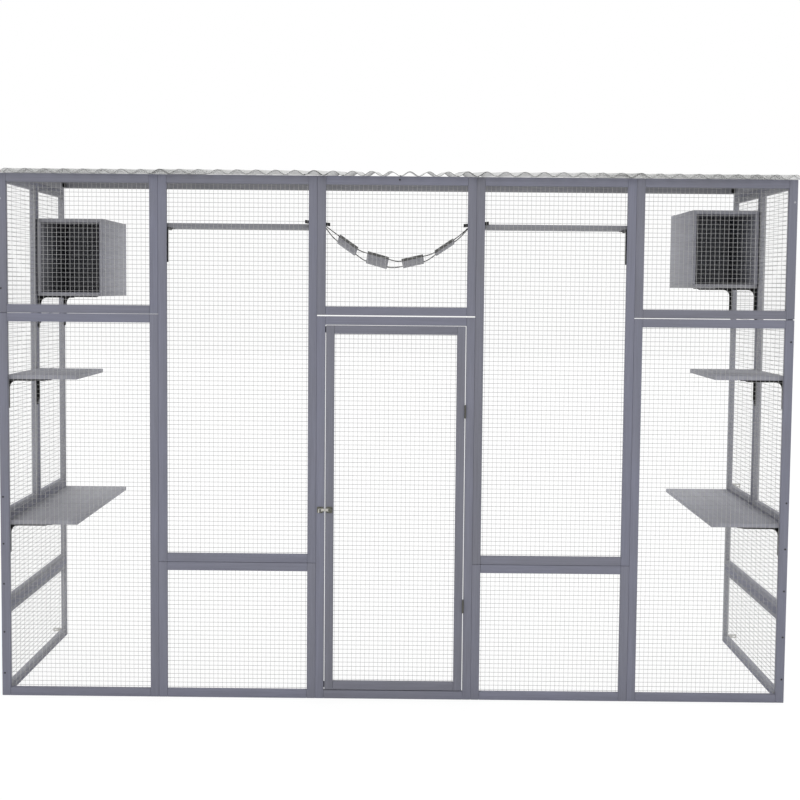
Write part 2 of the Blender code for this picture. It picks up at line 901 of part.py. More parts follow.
def rope_route(row):
    """A rope from one ring through the slats' holes to the other ring."""
    tie_y = math.copysign(rope_tie_spread, row)
    reach = bridge_span / 2 - ring_wire_radius - fit_gap
    start = Vector((-reach, tie_y, tie_level))
    finish = Vector((reach, tie_y, tie_level))
    runs = []
    for frame in slat_frames:
        runs.append((frame @ Vector((-slat_half, row, 0.0)), frame @ Vector((slat_half, row, 0.0))))
    stub = Vector((rope_tie_stub, 0.0, 0.0))
    points = [start]
    here = start + stub
    way = (runs[0][0] - here).normalized()
    points.append(here)
    for number, (entry, leave) in enumerate(runs):
        along = (leave - entry).normalized()
        count = rope_gap_points if number else rope_end_points
        points += smooth_run(here, way, entry, along, count)
        for step in range(rope_slat_points + 2):
            points.append(entry.lerp(leave, step / (rope_slat_points + 1)))
        here, way = leave, along
    last = finish - stub
    points += smooth_run(here, way, last, (last - here).normalized(), rope_end_points)
    points += [last, finish]
    return points


for rope_name, row in zip(("near", "far"), hole_rows):
    curve = bpy.data.curves.new(f"bridge_rope_{rope_name}", "CURVE")
    curve.dimensions = "3D"
    curve.bevel_depth = rope_radius
    curve.bevel_resolution = 2
    curve.use_fill_caps = True
    spline = curve.splines.new("POLY")
    route = rope_route(row)
    spline.points.add(len(route) - 1)
    for knot, point in zip(spline.points, route):
        knot.co = (*point, 1.0)
    curve.materials.append(dark_rope)
    link(f"bridge_rope_{rope_name}", curve, parent=swing_axis)

# Rings that turn on the pins, and the hangers that carry the pins
for side_name, hand in (("left", -1.0), ("right", 1.0)):
    ring = bpy.data.curves.new(f"bridge_ring_{side_name}", "CURVE")
    ring.dimensions = "3D"
    ring.bevel_depth = ring_wire_radius
    ring.bevel_resolution = 1
    spline = ring.splines.new("POLY")
    spline.points.add(ring_steps - 1)
    for step, knot in enumerate(spline.points):
        angle = math.tau * step / ring_steps
        knot.co = (
            hand * bridge_span / 2, ring_radius * math.sin(angle),
            -ring_drop + ring_radius * math.cos(angle), 1.0)
    spline.use_cyclic_u = True
    ring.materials.append(zinc_steel)
    link(f"bridge_ring_{side_name}", ring, parent=swing_axis)

    seat_x = hand * inner_seam
    strap_near = net_face + fit_gap
    strap = block(
        (seat_x - strap_length / 2, strap_near, bridge_pin_height - strap_height),
        (seat_x + strap_length / 2, strap_near + strap_thickness, bridge_pin_height))
    rod_start_x = hand * (bridge_span / 2 + ring_place + rod_bend - ring_wire_radius)
    path = [
        Vector((rod_start_x, strap_near + fit_gap, bridge_pin_height - rod_radius)),
        Vector((rod_start_x, bridge_reach - rod_bend, bridge_pin_height)),
    ]
    for step in range(1, fillet_steps + 1):
        angle = math.pi / 2 * step / fillet_steps
        path.append(Vector((
            rod_start_x - hand * rod_bend * (1.0 - math.cos(angle)),
            bridge_reach - rod_bend * (1.0 - math.sin(angle)), bridge_pin_height)))
    path.append(path[-1] - Vector((hand * rod_end, 0.0, 0.0)))
    tip_x = path[-1].x
    cap = round_bar(
        (bridge_reach, bridge_pin_height), rod_cap_radius,
        tip_x + hand * fit_gap, tip_x - hand * rod_cap_length, "X", round_sides)
    piece(
        f"bridge_hanger_{side_name}", strap, black_steel,
        joined=(swept_rod(path, rod_radius, round_sides), cap))

# Wall tabs, screwed to the rear edges of the end walls
for tab_name, hand, bottom in (
    ("left_low", -1.0, low_tab_height),
    ("right_low", 1.0, low_tab_height),
    ("right_middle", 1.0, mid_tab_height),
):
    seat_x = hand * (right_end - tab_seat)
    tip_x = seat_x + hand * tab_length
    low_x, high_x = sorted((seat_x, tip_x))
    near_y = enclosure_depth + fit_gap
    slot_tip = tip_x - hand * tab_slot_inset
    slot_root = slot_tip - hand * tab_slot_length
    slot_low, slot_high = sorted((slot_tip, slot_root))
    slot_middle = bottom + tab_height / 2
    slot = block(
        (slot_low, near_y - cut_overrun, slot_middle - tab_slot_width / 2),
        (slot_high, near_y + tab_thickness + cut_overrun, slot_middle + tab_slot_width / 2))
    piece(
        f"wall_tab_{tab_name}",
        block((low_x, near_y, bottom), (high_x, near_y + tab_thickness, bottom + tab_height)),
        zinc_steel, cut=(slot,))
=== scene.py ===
# %% [markdown]
# Cat enclosure of painted timber and wire net
#
# The real object stands against a house. Five bays of timber panels make its front, four panels
# make each end, and the rear is open. Wire net is stapled behind the panels, a corrugated roof
# lies on top, and shelves, resting boxes and a hanging bridge are inside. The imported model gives
# the main sizes and places, and this lesson dresses it with boards, net, waves and ropes.

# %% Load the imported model
import math
import random

import bmesh
import bpy
from mathutils import Matrix, Vector


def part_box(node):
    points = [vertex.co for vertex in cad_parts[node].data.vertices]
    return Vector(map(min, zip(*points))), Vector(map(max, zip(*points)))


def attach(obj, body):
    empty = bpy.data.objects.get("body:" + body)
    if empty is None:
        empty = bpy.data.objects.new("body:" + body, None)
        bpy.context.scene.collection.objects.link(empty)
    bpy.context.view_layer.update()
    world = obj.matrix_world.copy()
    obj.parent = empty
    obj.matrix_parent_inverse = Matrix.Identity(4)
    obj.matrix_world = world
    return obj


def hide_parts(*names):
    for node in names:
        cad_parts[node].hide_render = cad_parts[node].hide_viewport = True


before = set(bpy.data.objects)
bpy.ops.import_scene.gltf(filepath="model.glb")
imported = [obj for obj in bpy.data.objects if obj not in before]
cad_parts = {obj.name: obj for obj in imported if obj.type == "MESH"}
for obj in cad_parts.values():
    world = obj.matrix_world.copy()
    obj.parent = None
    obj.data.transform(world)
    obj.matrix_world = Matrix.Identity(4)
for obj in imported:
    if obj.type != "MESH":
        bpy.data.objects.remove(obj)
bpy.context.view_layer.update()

scene = bpy.context.scene
sides = (("left", -1.0), ("right", 1.0))

# %% [markdown]
# The camera stands in front of the middle bay, lower than the wall's top and nearly square to
# the wall, and looks a little down. Its place came from the corners of the panels. A shorter
# lens from closer by could frame the same wall, but it would show more of the inner faces of
# the end walls, so this one is fairly long.

# %% Camera
camera_place = Vector((0.03545, -5.58754, 1.56625))
camera_yaw = math.radians(-0.182)
camera_pitch = math.radians(4.250)
camera_roll = math.radians(-0.523)
lens_length = 66.533
sensor_width = 36.0

level_ahead = Vector((math.sin(camera_yaw), math.cos(camera_yaw), 0.0))
ahead = level_ahead * math.cos(camera_pitch) - Vector((0.0, 0.0, math.sin(camera_pitch)))
level_right = Vector((math.cos(camera_yaw), -math.sin(camera_yaw), 0.0))
level_down = ahead.cross(level_right)
right = level_right * math.cos(camera_roll) + level_down * math.sin(camera_roll)
down = level_down * math.cos(camera_roll) - level_right * math.sin(camera_roll)

camera_data = bpy.data.cameras.new("front_camera")
camera_data.lens = lens_length
camera_data.sensor_width = sensor_width
camera = bpy.data.objects.new("front_camera", camera_data)
turn = Matrix((right, -down, -ahead)).transposed().to_4x4()
camera.matrix_world = Matrix.Translation(camera_place) @ turn
scene.collection.objects.link(camera)
scene.camera = camera
print("camera looks along", [round(value, 3) for value in ahead])

# %% [markdown]
# Every finish, and every shape that repeats, is a tree of nodes. Nodes can be made and linked
# one call at a time, but a few helpers keep each tree as short as a recipe: one sets a node's
# inputs from numbers or from other nodes, and one makes a tree with named inputs and outputs.

# %% Helpers for trees of nodes


def set_inputs(tree, node, values):
    """Sets inputs to plain values, or links them to sockets or to the first output of nodes."""
    for label, value in values.items():
        if isinstance(value, bpy.types.Node):
            value = value.outputs[0]
        if isinstance(value, bpy.types.NodeSocket):
            tree.links.new(value, node.inputs[label])
        else:
            node.inputs[label].default_value = value


def add_node(tree, kind, values):
    node = tree.nodes.new(kind)
    set_inputs(tree, node, values)
    return node


def math_node(tree, operation, *terms, clamp=False):
    node = add_node(tree, "ShaderNodeMath", dict(enumerate(terms)))
    node.operation = operation
    node.use_clamp = clamp
    return node.outputs[0]


def new_tree(name, kind, inputs, outputs):
    """A tree, its inputs by label, and the node that its outputs go to."""
    tree = bpy.data.node_groups.new(name, kind)
    for label, socket_kind, value in inputs:
        socket = tree.interface.new_socket(
            label, in_out="INPUT", socket_type=f"NodeSocket{socket_kind}")
        if value is not None:
            socket.default_value = value
    for label, socket_kind in outputs:
        tree.interface.new_socket(label, in_out="OUTPUT", socket_type=f"NodeSocket{socket_kind}")
    enter = tree.nodes.new("NodeGroupInput")
    leave = tree.nodes.new("NodeGroupOutput")
    return tree, enter.outputs, leave


def new_material(name):
    made = bpy.data.materials.new(name)
    made.use_nodes = True
    made.node_tree.nodes.clear()
    output = made.node_tree.nodes.new("ShaderNodeOutputMaterial")
    return made, made.node_tree, output


print("node helpers ready")

# %% [markdown]
# A white room with soft light shows the colours as they are. Its backdrop is lit more than its
# front, which lights the inner faces. Lamps could do this too, but a room that brightens
# towards the rear casts no hard shadows. The floor and the backdrop are white to the camera
# only, so they add no glare to the object, and the floor keeps its shadow.

# %% Room
scene.view_settings.view_transform = "Standard"
sky_strength = 1.13
backdrop_share = 0.43
white = (1.0, 1.0, 1.0, 1.0)


def camera_white(tree):
    """A mask that is one where the camera, a mirror or glass looks."""
    path = tree.nodes.new("ShaderNodeLightPath").outputs
    seen = math_node(tree, "MAXIMUM", path["Is Camera Ray"], path["Is Glossy Ray"])
    return math_node(tree, "MAXIMUM", seen, path["Is Transmission Ray"])


def show_two(tree, lights, shows, output):
    """One shader lights the object, and the other shows to the camera."""
    choice = add_node(tree, "ShaderNodeMixShader", {0: camera_white(tree), 1: lights, 2: shows})
    set_inputs(tree, output, {"Surface": choice})


sky = bpy.data.worlds.new("white_room")
scene.world = sky
sky.use_nodes = True
sky_tree = sky.node_tree
sky_tree.nodes.clear()
way_parts = add_node(sky_tree, "ShaderNodeSeparateXYZ", {
    0: sky_tree.nodes.new("ShaderNodeTexCoord").outputs["Generated"]})
rearward = add_node(sky_tree, "ShaderNodeMapRange", {
    "Value": way_parts.outputs["Y"], "From Min": -1.0,
    "To Min": sky_strength * (1.0 - backdrop_share),
    "To Max": sky_strength * (1.0 + backdrop_share)})
sky_lit = add_node(sky_tree, "ShaderNodeBackground", {"Color": white, "Strength": rearward})
sky_seen = add_node(sky_tree, "ShaderNodeBackground", {"Color": white})
show_two(sky_tree, sky_lit, sky_seen, sky_tree.nodes.new("ShaderNodeOutputWorld"))
print("sky", sky_strength)

# %% Floor
floor_size = 60.0
floor_colour = (0.86, 0.86, 0.86, 1.0)
shadow_colour = (0.12, 0.12, 0.12, 1.0)
floor_glow = 0.90

floor_paint, tree, output = new_material("studio_floor")
matt = add_node(tree, "ShaderNodeBsdfDiffuse", {"Color": floor_colour})
shaded = add_node(tree, "ShaderNodeBsdfDiffuse", {"Color": shadow_colour})
glow = add_node(tree, "ShaderNodeEmission", {"Color": white, "Strength": floor_glow})
show_two(tree, matt, add_node(tree, "ShaderNodeAddShader", {0: shaded, 1: glow}), output)

half_floor = floor_size / 2
floor_corners = [
    (-half_floor, -half_floor, 0.0), (half_floor, -half_floor, 0.0),
    (half_floor, half_floor, 0.0), (-half_floor, half_floor, 0.0)]
floor_mesh = bpy.data.meshes.new("studio_floor")
floor_mesh.from_pydata(floor_corners, [], [(0, 1, 2, 3)])
floor_mesh.materials.append(floor_paint)
studio_floor = bpy.data.objects.new("studio_floor", floor_mesh)
scene.collection.objects.link(studio_floor)
print("floor", floor_size, "m wide")

# %% Key lamp
key_strength = 0.50
key_way = (0.20, 0.85, -0.48)
key_softness = math.radians(30.0)

key_data = bpy.data.lights.new("key_lamp", "SUN")
key_data.energy = key_strength
key_data.angle = key_softness
key_lamp = bpy.data.objects.new("key_lamp", key_data)
key_lamp.rotation_euler = Vector(key_way).to_track_quat("-Z", "Y").to_euler()
scene.collection.objects.link(key_lamp)
print("key", key_strength)

# %% [markdown]
# Two effects come back in many finishes. Grain is fine streaks along a board, made by noise
# that is drawn out along it. Mottle is a soft cloud that shifts a colour from place to place.
# Each could be built again in every finish. As a group of nodes it is built once, and a finish
# only sets its numbers.

# %% Shared effects
even = (1.0, 1.0, 1.0)
fine_stretch, broad_stretch = (0.022, 1.0, 1.0), (0.05, 1.0, 1.0)
fine_detail, broad_detail, cloud_detail = 3.0, 4.0, 3.0
broad_height_share = 0.6


def stretched_noise(tree, place, stretch, scale, detail):
    """Noise that is drawn out along an axis whose stretch is small."""
    mapping = add_node(tree, "ShaderNodeMapping", {"Vector": place, "Scale": stretch})
    noise = add_node(
        tree, "ShaderNodeTexNoise", {"Vector": mapping, "Scale": scale, "Detail": detail})
    return noise.outputs["Fac"]


grain_group, enter, leave = new_tree(
    "board_grain", "ShaderNodeTree",
    [("Place", "Vector", None), ("Fine Scale", "Float", 260.0), ("Broad Scale", "Float", 34.0)],
    [("Fine", "Float"), ("Broad", "Float"), ("Height", "Float")])
fine = stretched_noise(
    grain_group, enter["Place"], fine_stretch, enter["Fine Scale"], fine_detail)
broad = stretched_noise(
    grain_group, enter["Place"], broad_stretch, enter["Broad Scale"], broad_detail)
broad_height = math_node(grain_group, "MULTIPLY", broad, broad_height_share)
set_inputs(grain_group, leave, {
    "Fine": fine, "Broad": broad, "Height": math_node(grain_group, "ADD", fine, broad_height)})

mottle_group, enter, leave = new_tree(
    "soft_mottle", "ShaderNodeTree",
    [("Place", "Vector", None), ("Scale", "Float", 6.0), ("Contrast", "Float", 1.5)],
    [("Mask", "Float")])
cloud = stretched_noise(mottle_group, enter["Place"], even, enter["Scale"], cloud_detail)
centred = math_node(mottle_group, "SUBTRACT", cloud, 0.5)
spread = math_node(mottle_group, "MULTIPLY", centred, enter["Contrast"])
set_inputs(mottle_group, leave, {"Mask": math_node(mottle_group, "ADD", spread, 0.5, clamp=True)})
print("groups", [group.name for group in bpy.data.node_groups])

# %% Helpers for finishes
noise_low, noise_high = 0.3, 0.7


def new_finish(name):
    """A material with one main shader, for a finish to fill in."""
    made, tree, output = new_material(name)
    shader = tree.nodes.new("ShaderNodeBsdfPrincipled")
    set_inputs(tree, output, {"Surface": shader})
    return made, tree, shader


def place_group(tree, group, values):
    node = tree.nodes.new("ShaderNodeGroup")
    node.node_tree = group
    set_inputs(tree, node, values)
    return node.outputs


def mix_colours(tree, factor, first, second, blend="MIX"):
    """Goes from the first colour to the second by a factor, or multiplies them."""
    node = tree.nodes.new("ShaderNodeMix")
    node.data_type = "RGBA"
    node.blend_type = blend
    slots = [index for index, entry in enumerate(node.inputs) if entry.type == "RGBA"]
    values = {"Factor": factor}
    for slot, value in zip(slots, (first, second)):
        values[slot] = (*value, 1.0) if isinstance(value, tuple) else value
    set_inputs(tree, node, values)
    return [entry for entry in node.outputs if entry.type == "RGBA"][0]


def ranged(tree, value, low, high):
    """Noise, which rarely leaves its middle range, spread from low to high."""
    return add_node(tree, "ShaderNodeMapRange", {
        "Value": value, "From Min": noise_low, "From Max": noise_high,
        "To Min": low, "To Max": high}).outputs[0]


def raise_relief(tree, shader, height, strength, distance):
    relief = add_node(
        tree, "ShaderNodeBump", {"Height": height, "Strength": strength, "Distance": distance})
    set_inputs(tree, shader, {"Normal": relief})


print("noise is read from", noise_low, "to", noise_high)

# %% [markdown]
# The timber is painted grey. The paint is bluish on some boards and warmer on others, fine
# streaks run along each board, and the eased edges catch the light. The streaks could lie on
# the object's own axes, but then those of a rail and a stile would run the same way. So every
# board carries its own tone and its own place in the wood as attributes of its mesh, and the
# streaks follow the board whichever way it lies. Shelves, boxes and slats get a lighter copy of
# the same grey, and the beam and the high shelves a copy between the two. Both copies are
# painted light for the light that falls on these inner parts.

# %% Finishes of the timber
wood_cloud_scale, tone_shift = 5.0, 0.35
less_rough, more_rough = 0.06, 0.08
grain_depth = 0.0006
paint_gloss = 0.3


def board_paint(name, cool, warm, streak, roughness, bump):
    """Painted timber whose streaks follow each board's own place in the wood."""
    made, tree, shader = new_finish(name)
    wood = tree.nodes.new("ShaderNodeAttribute")
    wood.attribute_name = "wood_place"
    tone = tree.nodes.new("ShaderNodeAttribute")
    tone.attribute_name = "board_tone"
    place = wood.outputs["Vector"]
    grain = place_group(tree, grain_group, {"Place": place})
    cloud = place_group(tree, mottle_group, {"Place": place, "Scale": wood_cloud_scale})["Mask"]
    shift = math_node(tree, "MULTIPLY", cloud, tone_shift)
    paint = mix_colours(
        tree, math_node(tree, "ADD", tone.outputs["Fac"], shift, clamp=True), cool, warm)
    streaks = math_node(tree, "MULTIPLY", *[
        ranged(tree, grain[label], 1.0 - streak, 1.0 + streak) for label in ("Fine", "Broad")])
    set_inputs(tree, shader, {
        "Base Color": mix_colours(tree, 1.0, paint, streaks, "MULTIPLY"),
        "Roughness": ranged(
            tree, grain["Broad"], roughness - less_rough, roughness + more_rough),
        "Specular IOR Level": paint_gloss})
    raise_relief(tree, shader, grain["Height"], bump, grain_depth)
    return made


wall_paint = board_paint(
    "wall_paint", cool=(0.193, 0.199, 0.260), warm=(0.165, 0.165, 0.184),
    streak=0.07, roughness=0.62, bump=0.35)
# A lighter copy of the wall's grey: painted light on the shelves, boxes and slats.
shelf_paint_with_painted_light = board_paint(
    "shelf_paint_with_painted_light", cool=(0.290, 0.294, 0.340), warm=(0.285, 0.283, 0.292),
    streak=0.10, roughness=0.66, bump=0.45)
# A copy between the two: painted light on the rear beam and the high shelves.
inner_paint_with_painted_light = board_paint(
    "inner_paint_with_painted_light", cool=(0.248, 0.251, 0.288), warm=(0.240, 0.239, 0.250),
    streak=0.08, roughness=0.64, bump=0.4)
# A dark copy: painted shade on the slats' front edges.
slat_edge_painted_shade = board_paint(
    "slat_edge_painted_shade", cool=(0.085, 0.085, 0.084), warm=(0.120, 0.118, 0.112),
    streak=0.25, roughness=0.7, bump=0.5)
print("timber finishes", wall_paint.name, shelf_paint_with_painted_light.name, inner_paint_with_painted_light.name)

# %% [markdown]
# Metal parts come in two kinds. The brackets, hangers and door stops are steel under a black
# powder coat, which has a fine orange-peel skin. The net, hinges, latch and tabs are zinc
# plated, with faint clouds where the plating settled. One recipe with its own numbers for each
# part makes both, because a coat and a plating differ only in colour, shine and skin.

# %% Finishes of the metal
skin_scale, skin_detail, skin_depth = 900.0, 2.0, 0.0001
metal_contrast, shine_swing = 2.2, 0.07


def grey(level):
    return (level, level, level)


def cloudy_colour(tree, shader, scale, contrast, dark, light):
    """Colours a shader by soft clouds, and gives their place and their mask."""
    place = tree.nodes.new("ShaderNodeTexCoord").outputs["Object"]
    mask = place_group(
        tree, mottle_group, {"Place": place, "Scale": scale, "Contrast": contrast})["Mask"]
    set_inputs(tree, shader, {"Base Color": mix_colours(tree, mask, dark, light)})
    return place, mask


def metal_finish(name, light, dark, metallic, roughness, cloud_scale, bump, gloss=0.5):
    """A coat or plating with soft clouds in its colour and shine, and a fine skin."""
    made, tree, shader = new_finish(name)
    place, mask = cloudy_colour(tree, shader, cloud_scale, metal_contrast, dark, light)
    set_inputs(tree, shader, {
        "Roughness": ranged(tree, mask, roughness - shine_swing, roughness + shine_swing),
        "Metallic": metallic, "Specular IOR Level": gloss})
    skin = stretched_noise(tree, place, even, skin_scale, skin_detail)
    raise_relief(tree, shader, skin, bump, skin_depth)
    return made


black_coat = metal_finish(
    "black_coat", grey(0.012), grey(0.006), metallic=0.0, roughness=0.58, cloud_scale=30.0,
    bump=0.5, gloss=0.2)
level_zinc = metal_finish(
    "level_zinc", grey(0.32), grey(0.25), metallic=0.2, roughness=0.5, cloud_scale=9.0, bump=0.2)
# The uprights' zinc is painted paler than the levels': painted light from the sides of the room.
upright_zinc_with_painted_light = metal_finish(
    "upright_zinc_with_painted_light", (0.50, 0.50, 0.49), grey(0.40), metallic=0.2, roughness=0.45,
    cloud_scale=9.0, bump=0.2)
# At the end walls the uprights are painted paler still: painted light.
bright_zinc = metal_finish(
    "bright_zinc", (0.90, 0.90, 0.89), grey(0.80), metallic=0.1, roughness=0.45,
    cloud_scale=9.0, bump=0.2)
fitting_zinc = metal_finish(
    "fitting_zinc", (0.55, 0.54, 0.50), (0.36, 0.35, 0.33), metallic=0.85, roughness=0.35,
    cloud_scale=60.0, bump=0.4)
dull_zinc = metal_finish(
    "dull_zinc", (0.135, 0.135, 0.115), (0.085, 0.085, 0.072), metallic=0.7, roughness=0.45,
    cloud_scale=60.0, bump=0.5)
screw_steel = metal_finish(
    "screw_steel", grey(0.030), grey(0.018), metallic=0.4, roughness=0.45, cloud_scale=60.0,
    bump=0.3)
plug_white = metal_finish(
    "plug_white", (0.42, 0.42, 0.46), (0.36, 0.36, 0.40), metallic=0.0, roughness=0.5,
    cloud_scale=60.0, bump=0.3)
print("metals", black_coat.name, level_zinc.name, fitting_zinc.name)

# %% [markdown]
# The roof is a pale plastic sheet that lets light through, and like glass it turns dense where
# it is seen at a glancing angle. Full glass would be slow to render and would bend the view.
# A thin sheet doesn't, so its cover simply rises with the angle. The sheet's cut edge is painted
# dark, as painted shade where light leaves the sheet through its edge.

# %% Finishes of the roof
roof_cloud_scale, roof_contrast = 3.0, 1.4
roof_smooth, roof_rough = 0.28, 0.4
veil_start, veil_full, veil_least = 0.925, 0.960, 0.31
weather_stretch, weather_scale, weather_detail, weather_bump = (1.0, 0.08, 1.0), 220.0, 2.0, 0.25

roof_skin, tree, shader = new_finish("roof_skin")
place, mask = cloudy_colour(
    tree, shader, roof_cloud_scale, roof_contrast, (0.44, 0.45, 0.44), (0.50, 0.50, 0.49))
veil = add_node(tree, "ShaderNodeMapRange", {
    "Value": tree.nodes.new("ShaderNodeLayerWeight").outputs["Facing"],
    "From Min": veil_start, "From Max": veil_full, "To Min": veil_least, "To Max": 1.0})
set_inputs(tree, shader, {
    "Roughness": ranged(tree, mask, roof_smooth, roof_rough), "Alpha": veil})
weather = stretched_noise(tree, place, weather_stretch, weather_scale, weather_detail)
raise_relief(tree, shader, weather, weather_bump, skin_depth)
# The cut edge is painted dark: painted shade where light leaves the sheet through its edge.
roof_cut_edge_painted_shade = metal_finish(
    "roof_cut_edge_painted_shade", grey(0.10), grey(0.07), metallic=0.0, roughness=0.5, cloud_scale=40.0,
    bump=0.3, gloss=0.2)
print("roof finishes", roof_skin.name, roof_cut_edge_painted_shade.name)

# %% Finish of the rope
fibre_scale, fibre_contrast, fibre_roughness, fibre_bump = 420.0, 2.0, 0.9, 0.6

rope_fibre, tree, shader = new_finish("rope_fibre")
place, mask = cloudy_colour(
    tree, shader, fibre_scale, fibre_contrast, (0.016, 0.016, 0.015), (0.050, 0.048, 0.045))
set_inputs(tree, shader, {"Roughness": fibre_roughness})
raise_relief(tree, shader, mask, fibre_bump, skin_depth)
print("rope finish", rope_fibre.name)

# %% [markdown]
# A board is a box with eased edges. Its mesh gets two attributes: where each point lies in the
# wood, with the grain first, and the board's own tone. Each board could be an object of its
# own, but a panel's stiles and rails are glued and move together, so many boards make one piece.

# %% Pieces
smooth_angle = math.radians(35.0)


def finish_piece(name, mesh, material, body, replaced=()):
    """Links a mesh as a piece, smooths it, and hands it to its body."""
    mesh.materials.clear()
    mesh.materials.append(material)
    for face in mesh.polygons:
        face.use_smooth = True
    mesh.set_sharp_from_angle(angle=smooth_angle)
    made = bpy.data.objects.new(name, mesh)
    scene.collection.objects.link(made)
    if replaced:
        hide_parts(*replaced)
    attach(made, body)
    return made


def black_piece(name, mesh, *replaced):
    """A black steel piece of the walls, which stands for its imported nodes."""
    finish_piece(name, mesh, black_coat, "enclosure", replaced)


def joined(name, meshes):
    """One mesh of several, whose faces all point outwards."""
    bm = bmesh.new()
    for mesh in meshes:
        bm.from_mesh(mesh)
    bmesh.ops.recalc_face_normals(bm, faces=bm.faces)
    made = bpy.data.meshes.new(name)
    bm.to_mesh(made)
    bm.free()
    for mesh in meshes:
        bpy.data.meshes.remove(mesh)
    return made


print("faces within", round(math.degrees(smooth_angle)), "degrees are smoothed")

# %% Boards
edge_ease, ease_steps, round_profile = 0.0013, 2, 0.5
wood_shift, warmest_tone, taper_tone = 7.0, 0.45, 0.35
grain_orders = {"X": (0, 1, 2), "Y": (1, 2, 0), "Z": (2, 0, 1)}
board_seed = 11
board_luck = random.Random(board_seed)


class Boards:
    """Collects boards, and then makes one piece of them."""

    def __init__(self, name):
        self.name = name
        self.points, self.faces, self.places, self.tones = [], [], [], []

    def add(self, low, high, grain_axis, tone=None, turn=None):
        """A board from corner to corner, whose wood, tone and turn are its own."""
        low, high = Vector(low), Vector(high)
        size, middle = high - low, (high + low) / 2
        bm = bmesh.new()
        bmesh.ops.create_cube(
            bm, size=1.0, matrix=Matrix.Translation(middle) @ Matrix.Diagonal((*size, 1.0)))
        bmesh.ops.bevel(
            bm, geom=list(bm.edges), offset=min(edge_ease, min(size) / 4), segments=ease_steps,
            profile=round_profile, affect="EDGES")
        shift = Vector([board_luck.uniform(-wood_shift, wood_shift) for _ in range(3)])
        shade = board_luck.uniform(0.0, warmest_tone) if tone is None else tone
        start = len(self.points)
        for vertex in bm.verts:
            along_grain = Vector([vertex.co[axis] for axis in grain_orders[grain_axis]])
            self.places.append(along_grain + shift)
            self.points.append(turn @ vertex.co if turn else vertex.co.copy())
            self.tones.append(shade)
        bm.verts.index_update()
        for face in bm.faces:
            self.faces.append([start + vertex.index for vertex in face.verts])
        bm.free()

    def taper(self, low, high, tip):
        """A board whose height runs from a tip at the front to its full size at the rear."""
        start = len(self.points)
        self.add(low, high, "Y", tone=taper_tone)
        rise = (high[2] - low[2] - tip) / (high[1] - low[1])
        for point in self.points[start:]:
            share = (point.z - low[2]) / (high[2] - low[2])
            point.z = low[2] + share * (tip + rise * (point.y - low[1]))

    def piece(self, material, body, slot, *replaced):
        mesh = bpy.data.meshes.new(self.name)
        mesh.from_pydata(self.points, [], self.faces)
        wood = mesh.attributes.new("wood_place", "FLOAT_VECTOR", "POINT")
        wood.data.foreach_set("vector", [value for place in self.places for value in place])
        tone = mesh.attributes.new("board_tone", "FLOAT", "POINT")
        tone.data.foreach_set("value", self.tones)
        finish_piece(self.name, mesh, material, body, replaced)


print("eased edges of", edge_ease, "m in", ease_steps, "steps")

# %% [markdown]
# Each panel has two full-height stiles with two rails between them. The end panels are turned
# so that their face looks outwards. A panel is drawn flat, from its lower left corner, and then
# turned into its place, so that one drawing serves the front and both ends.

# %% Panels of the walls
front_nodes = [
    "bay_1_lower", "bay_1_upper", "bay_2_lower", "bay_2_upper", "door_frame", "bay_3_upper",
    "bay_4_lower", "bay_4_upper", "bay_5_lower", "bay_5_upper", "door_leaf"]
end_nodes = ["low", "middle", "tall_front", "tall_rear"]
panel_nodes = front_nodes + [f"{side}_{name}" for side, _ in sides for name in end_nodes]
stile_width = 0.032
timber_thickness = 0.020
butt_joint = 0.0003


def panel_place(node):
    """A panel's width, its height and the matrix that stands it in its place."""
    low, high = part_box(node)
    height = high.z - low.z
    if node.startswith("left"):
        turn = Matrix.Rotation(-math.pi / 2, 4, "Z")
        return high.y - low.y, height, Matrix.Translation((low.x, high.y, low.z)) @ turn
    if node.startswith("right"):
        turn = Matrix.Rotation(math.pi / 2, 4, "Z")
        return high.y - low.y, height, Matrix.Translation((high.x, low.y, low.z)) @ turn
    return high.x - low.x, height, Matrix.Translation(low)


def body_of_panel(node):
    return "door" if node == "door_leaf" else "enclosure"


for node in panel_nodes:
    width, height, place = panel_place(node)
    boards = Boards(f"timber_{node}")
    stile, back = stile_width, timber_thickness
    rail_low, rail_high = stile + butt_joint, width - stile - butt_joint
    boards.add((0.0, 0.0, 0.0), (stile, back, height), "Z", turn=place)
    boards.add((width - stile, 0.0, 0.0), (width, back, height), "Z", turn=place)
    boards.add((rail_low, 0.0, 0.0), (rail_high, back, stile), "X", turn=place)
    boards.add((rail_low, 0.0, height - stile), (rail_high, back, height), "X", turn=place)
    boards.piece(wall_paint, body_of_panel(node), "painted_timber", node)
print("panels", len(panel_nodes))

# %% [markdown]
# A beam closes the top of the rear and carries the roof's higher end, on a tapered board at
# each side. A tapered board starts as a plain one whose top is then pulled down towards the
# front, which keeps its eased edges. Small angle plates hold the beam's ends.

# %% Rear beam and tapered boards
beam_low, beam_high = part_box("rear_beam")
beam_height, gable_tip, beam_gap, beam_tone = 0.064, 0.0037, 0.0005, 0.5
beam_front = beam_high.y - timber_thickness
wall_low, wall_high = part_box("bay_1_upper")
wall_front, wall_top = wall_low.y, wall_high.z
roof_slope = math.atan2(beam_high.z - wall_top, beam_front - wall_front)

boards = Boards("timber_rear_beam")
inner_left = beam_low.x + timber_thickness + beam_gap
boards.add(
    (inner_left, beam_front, beam_high.z - beam_height), (-inner_left, beam_high.y, beam_high.z),
    "X", tone=beam_tone)
gable_top = beam_high.z + timber_thickness * math.tan(roof_slope)
for outer, inner in (
    (beam_low.x, beam_low.x + timber_thickness), (beam_high.x - timber_thickness, beam_high.x),
):
    boards.taper((outer, beam_low.y, beam_low.z), (inner, beam_high.y, gable_top), gable_tip)
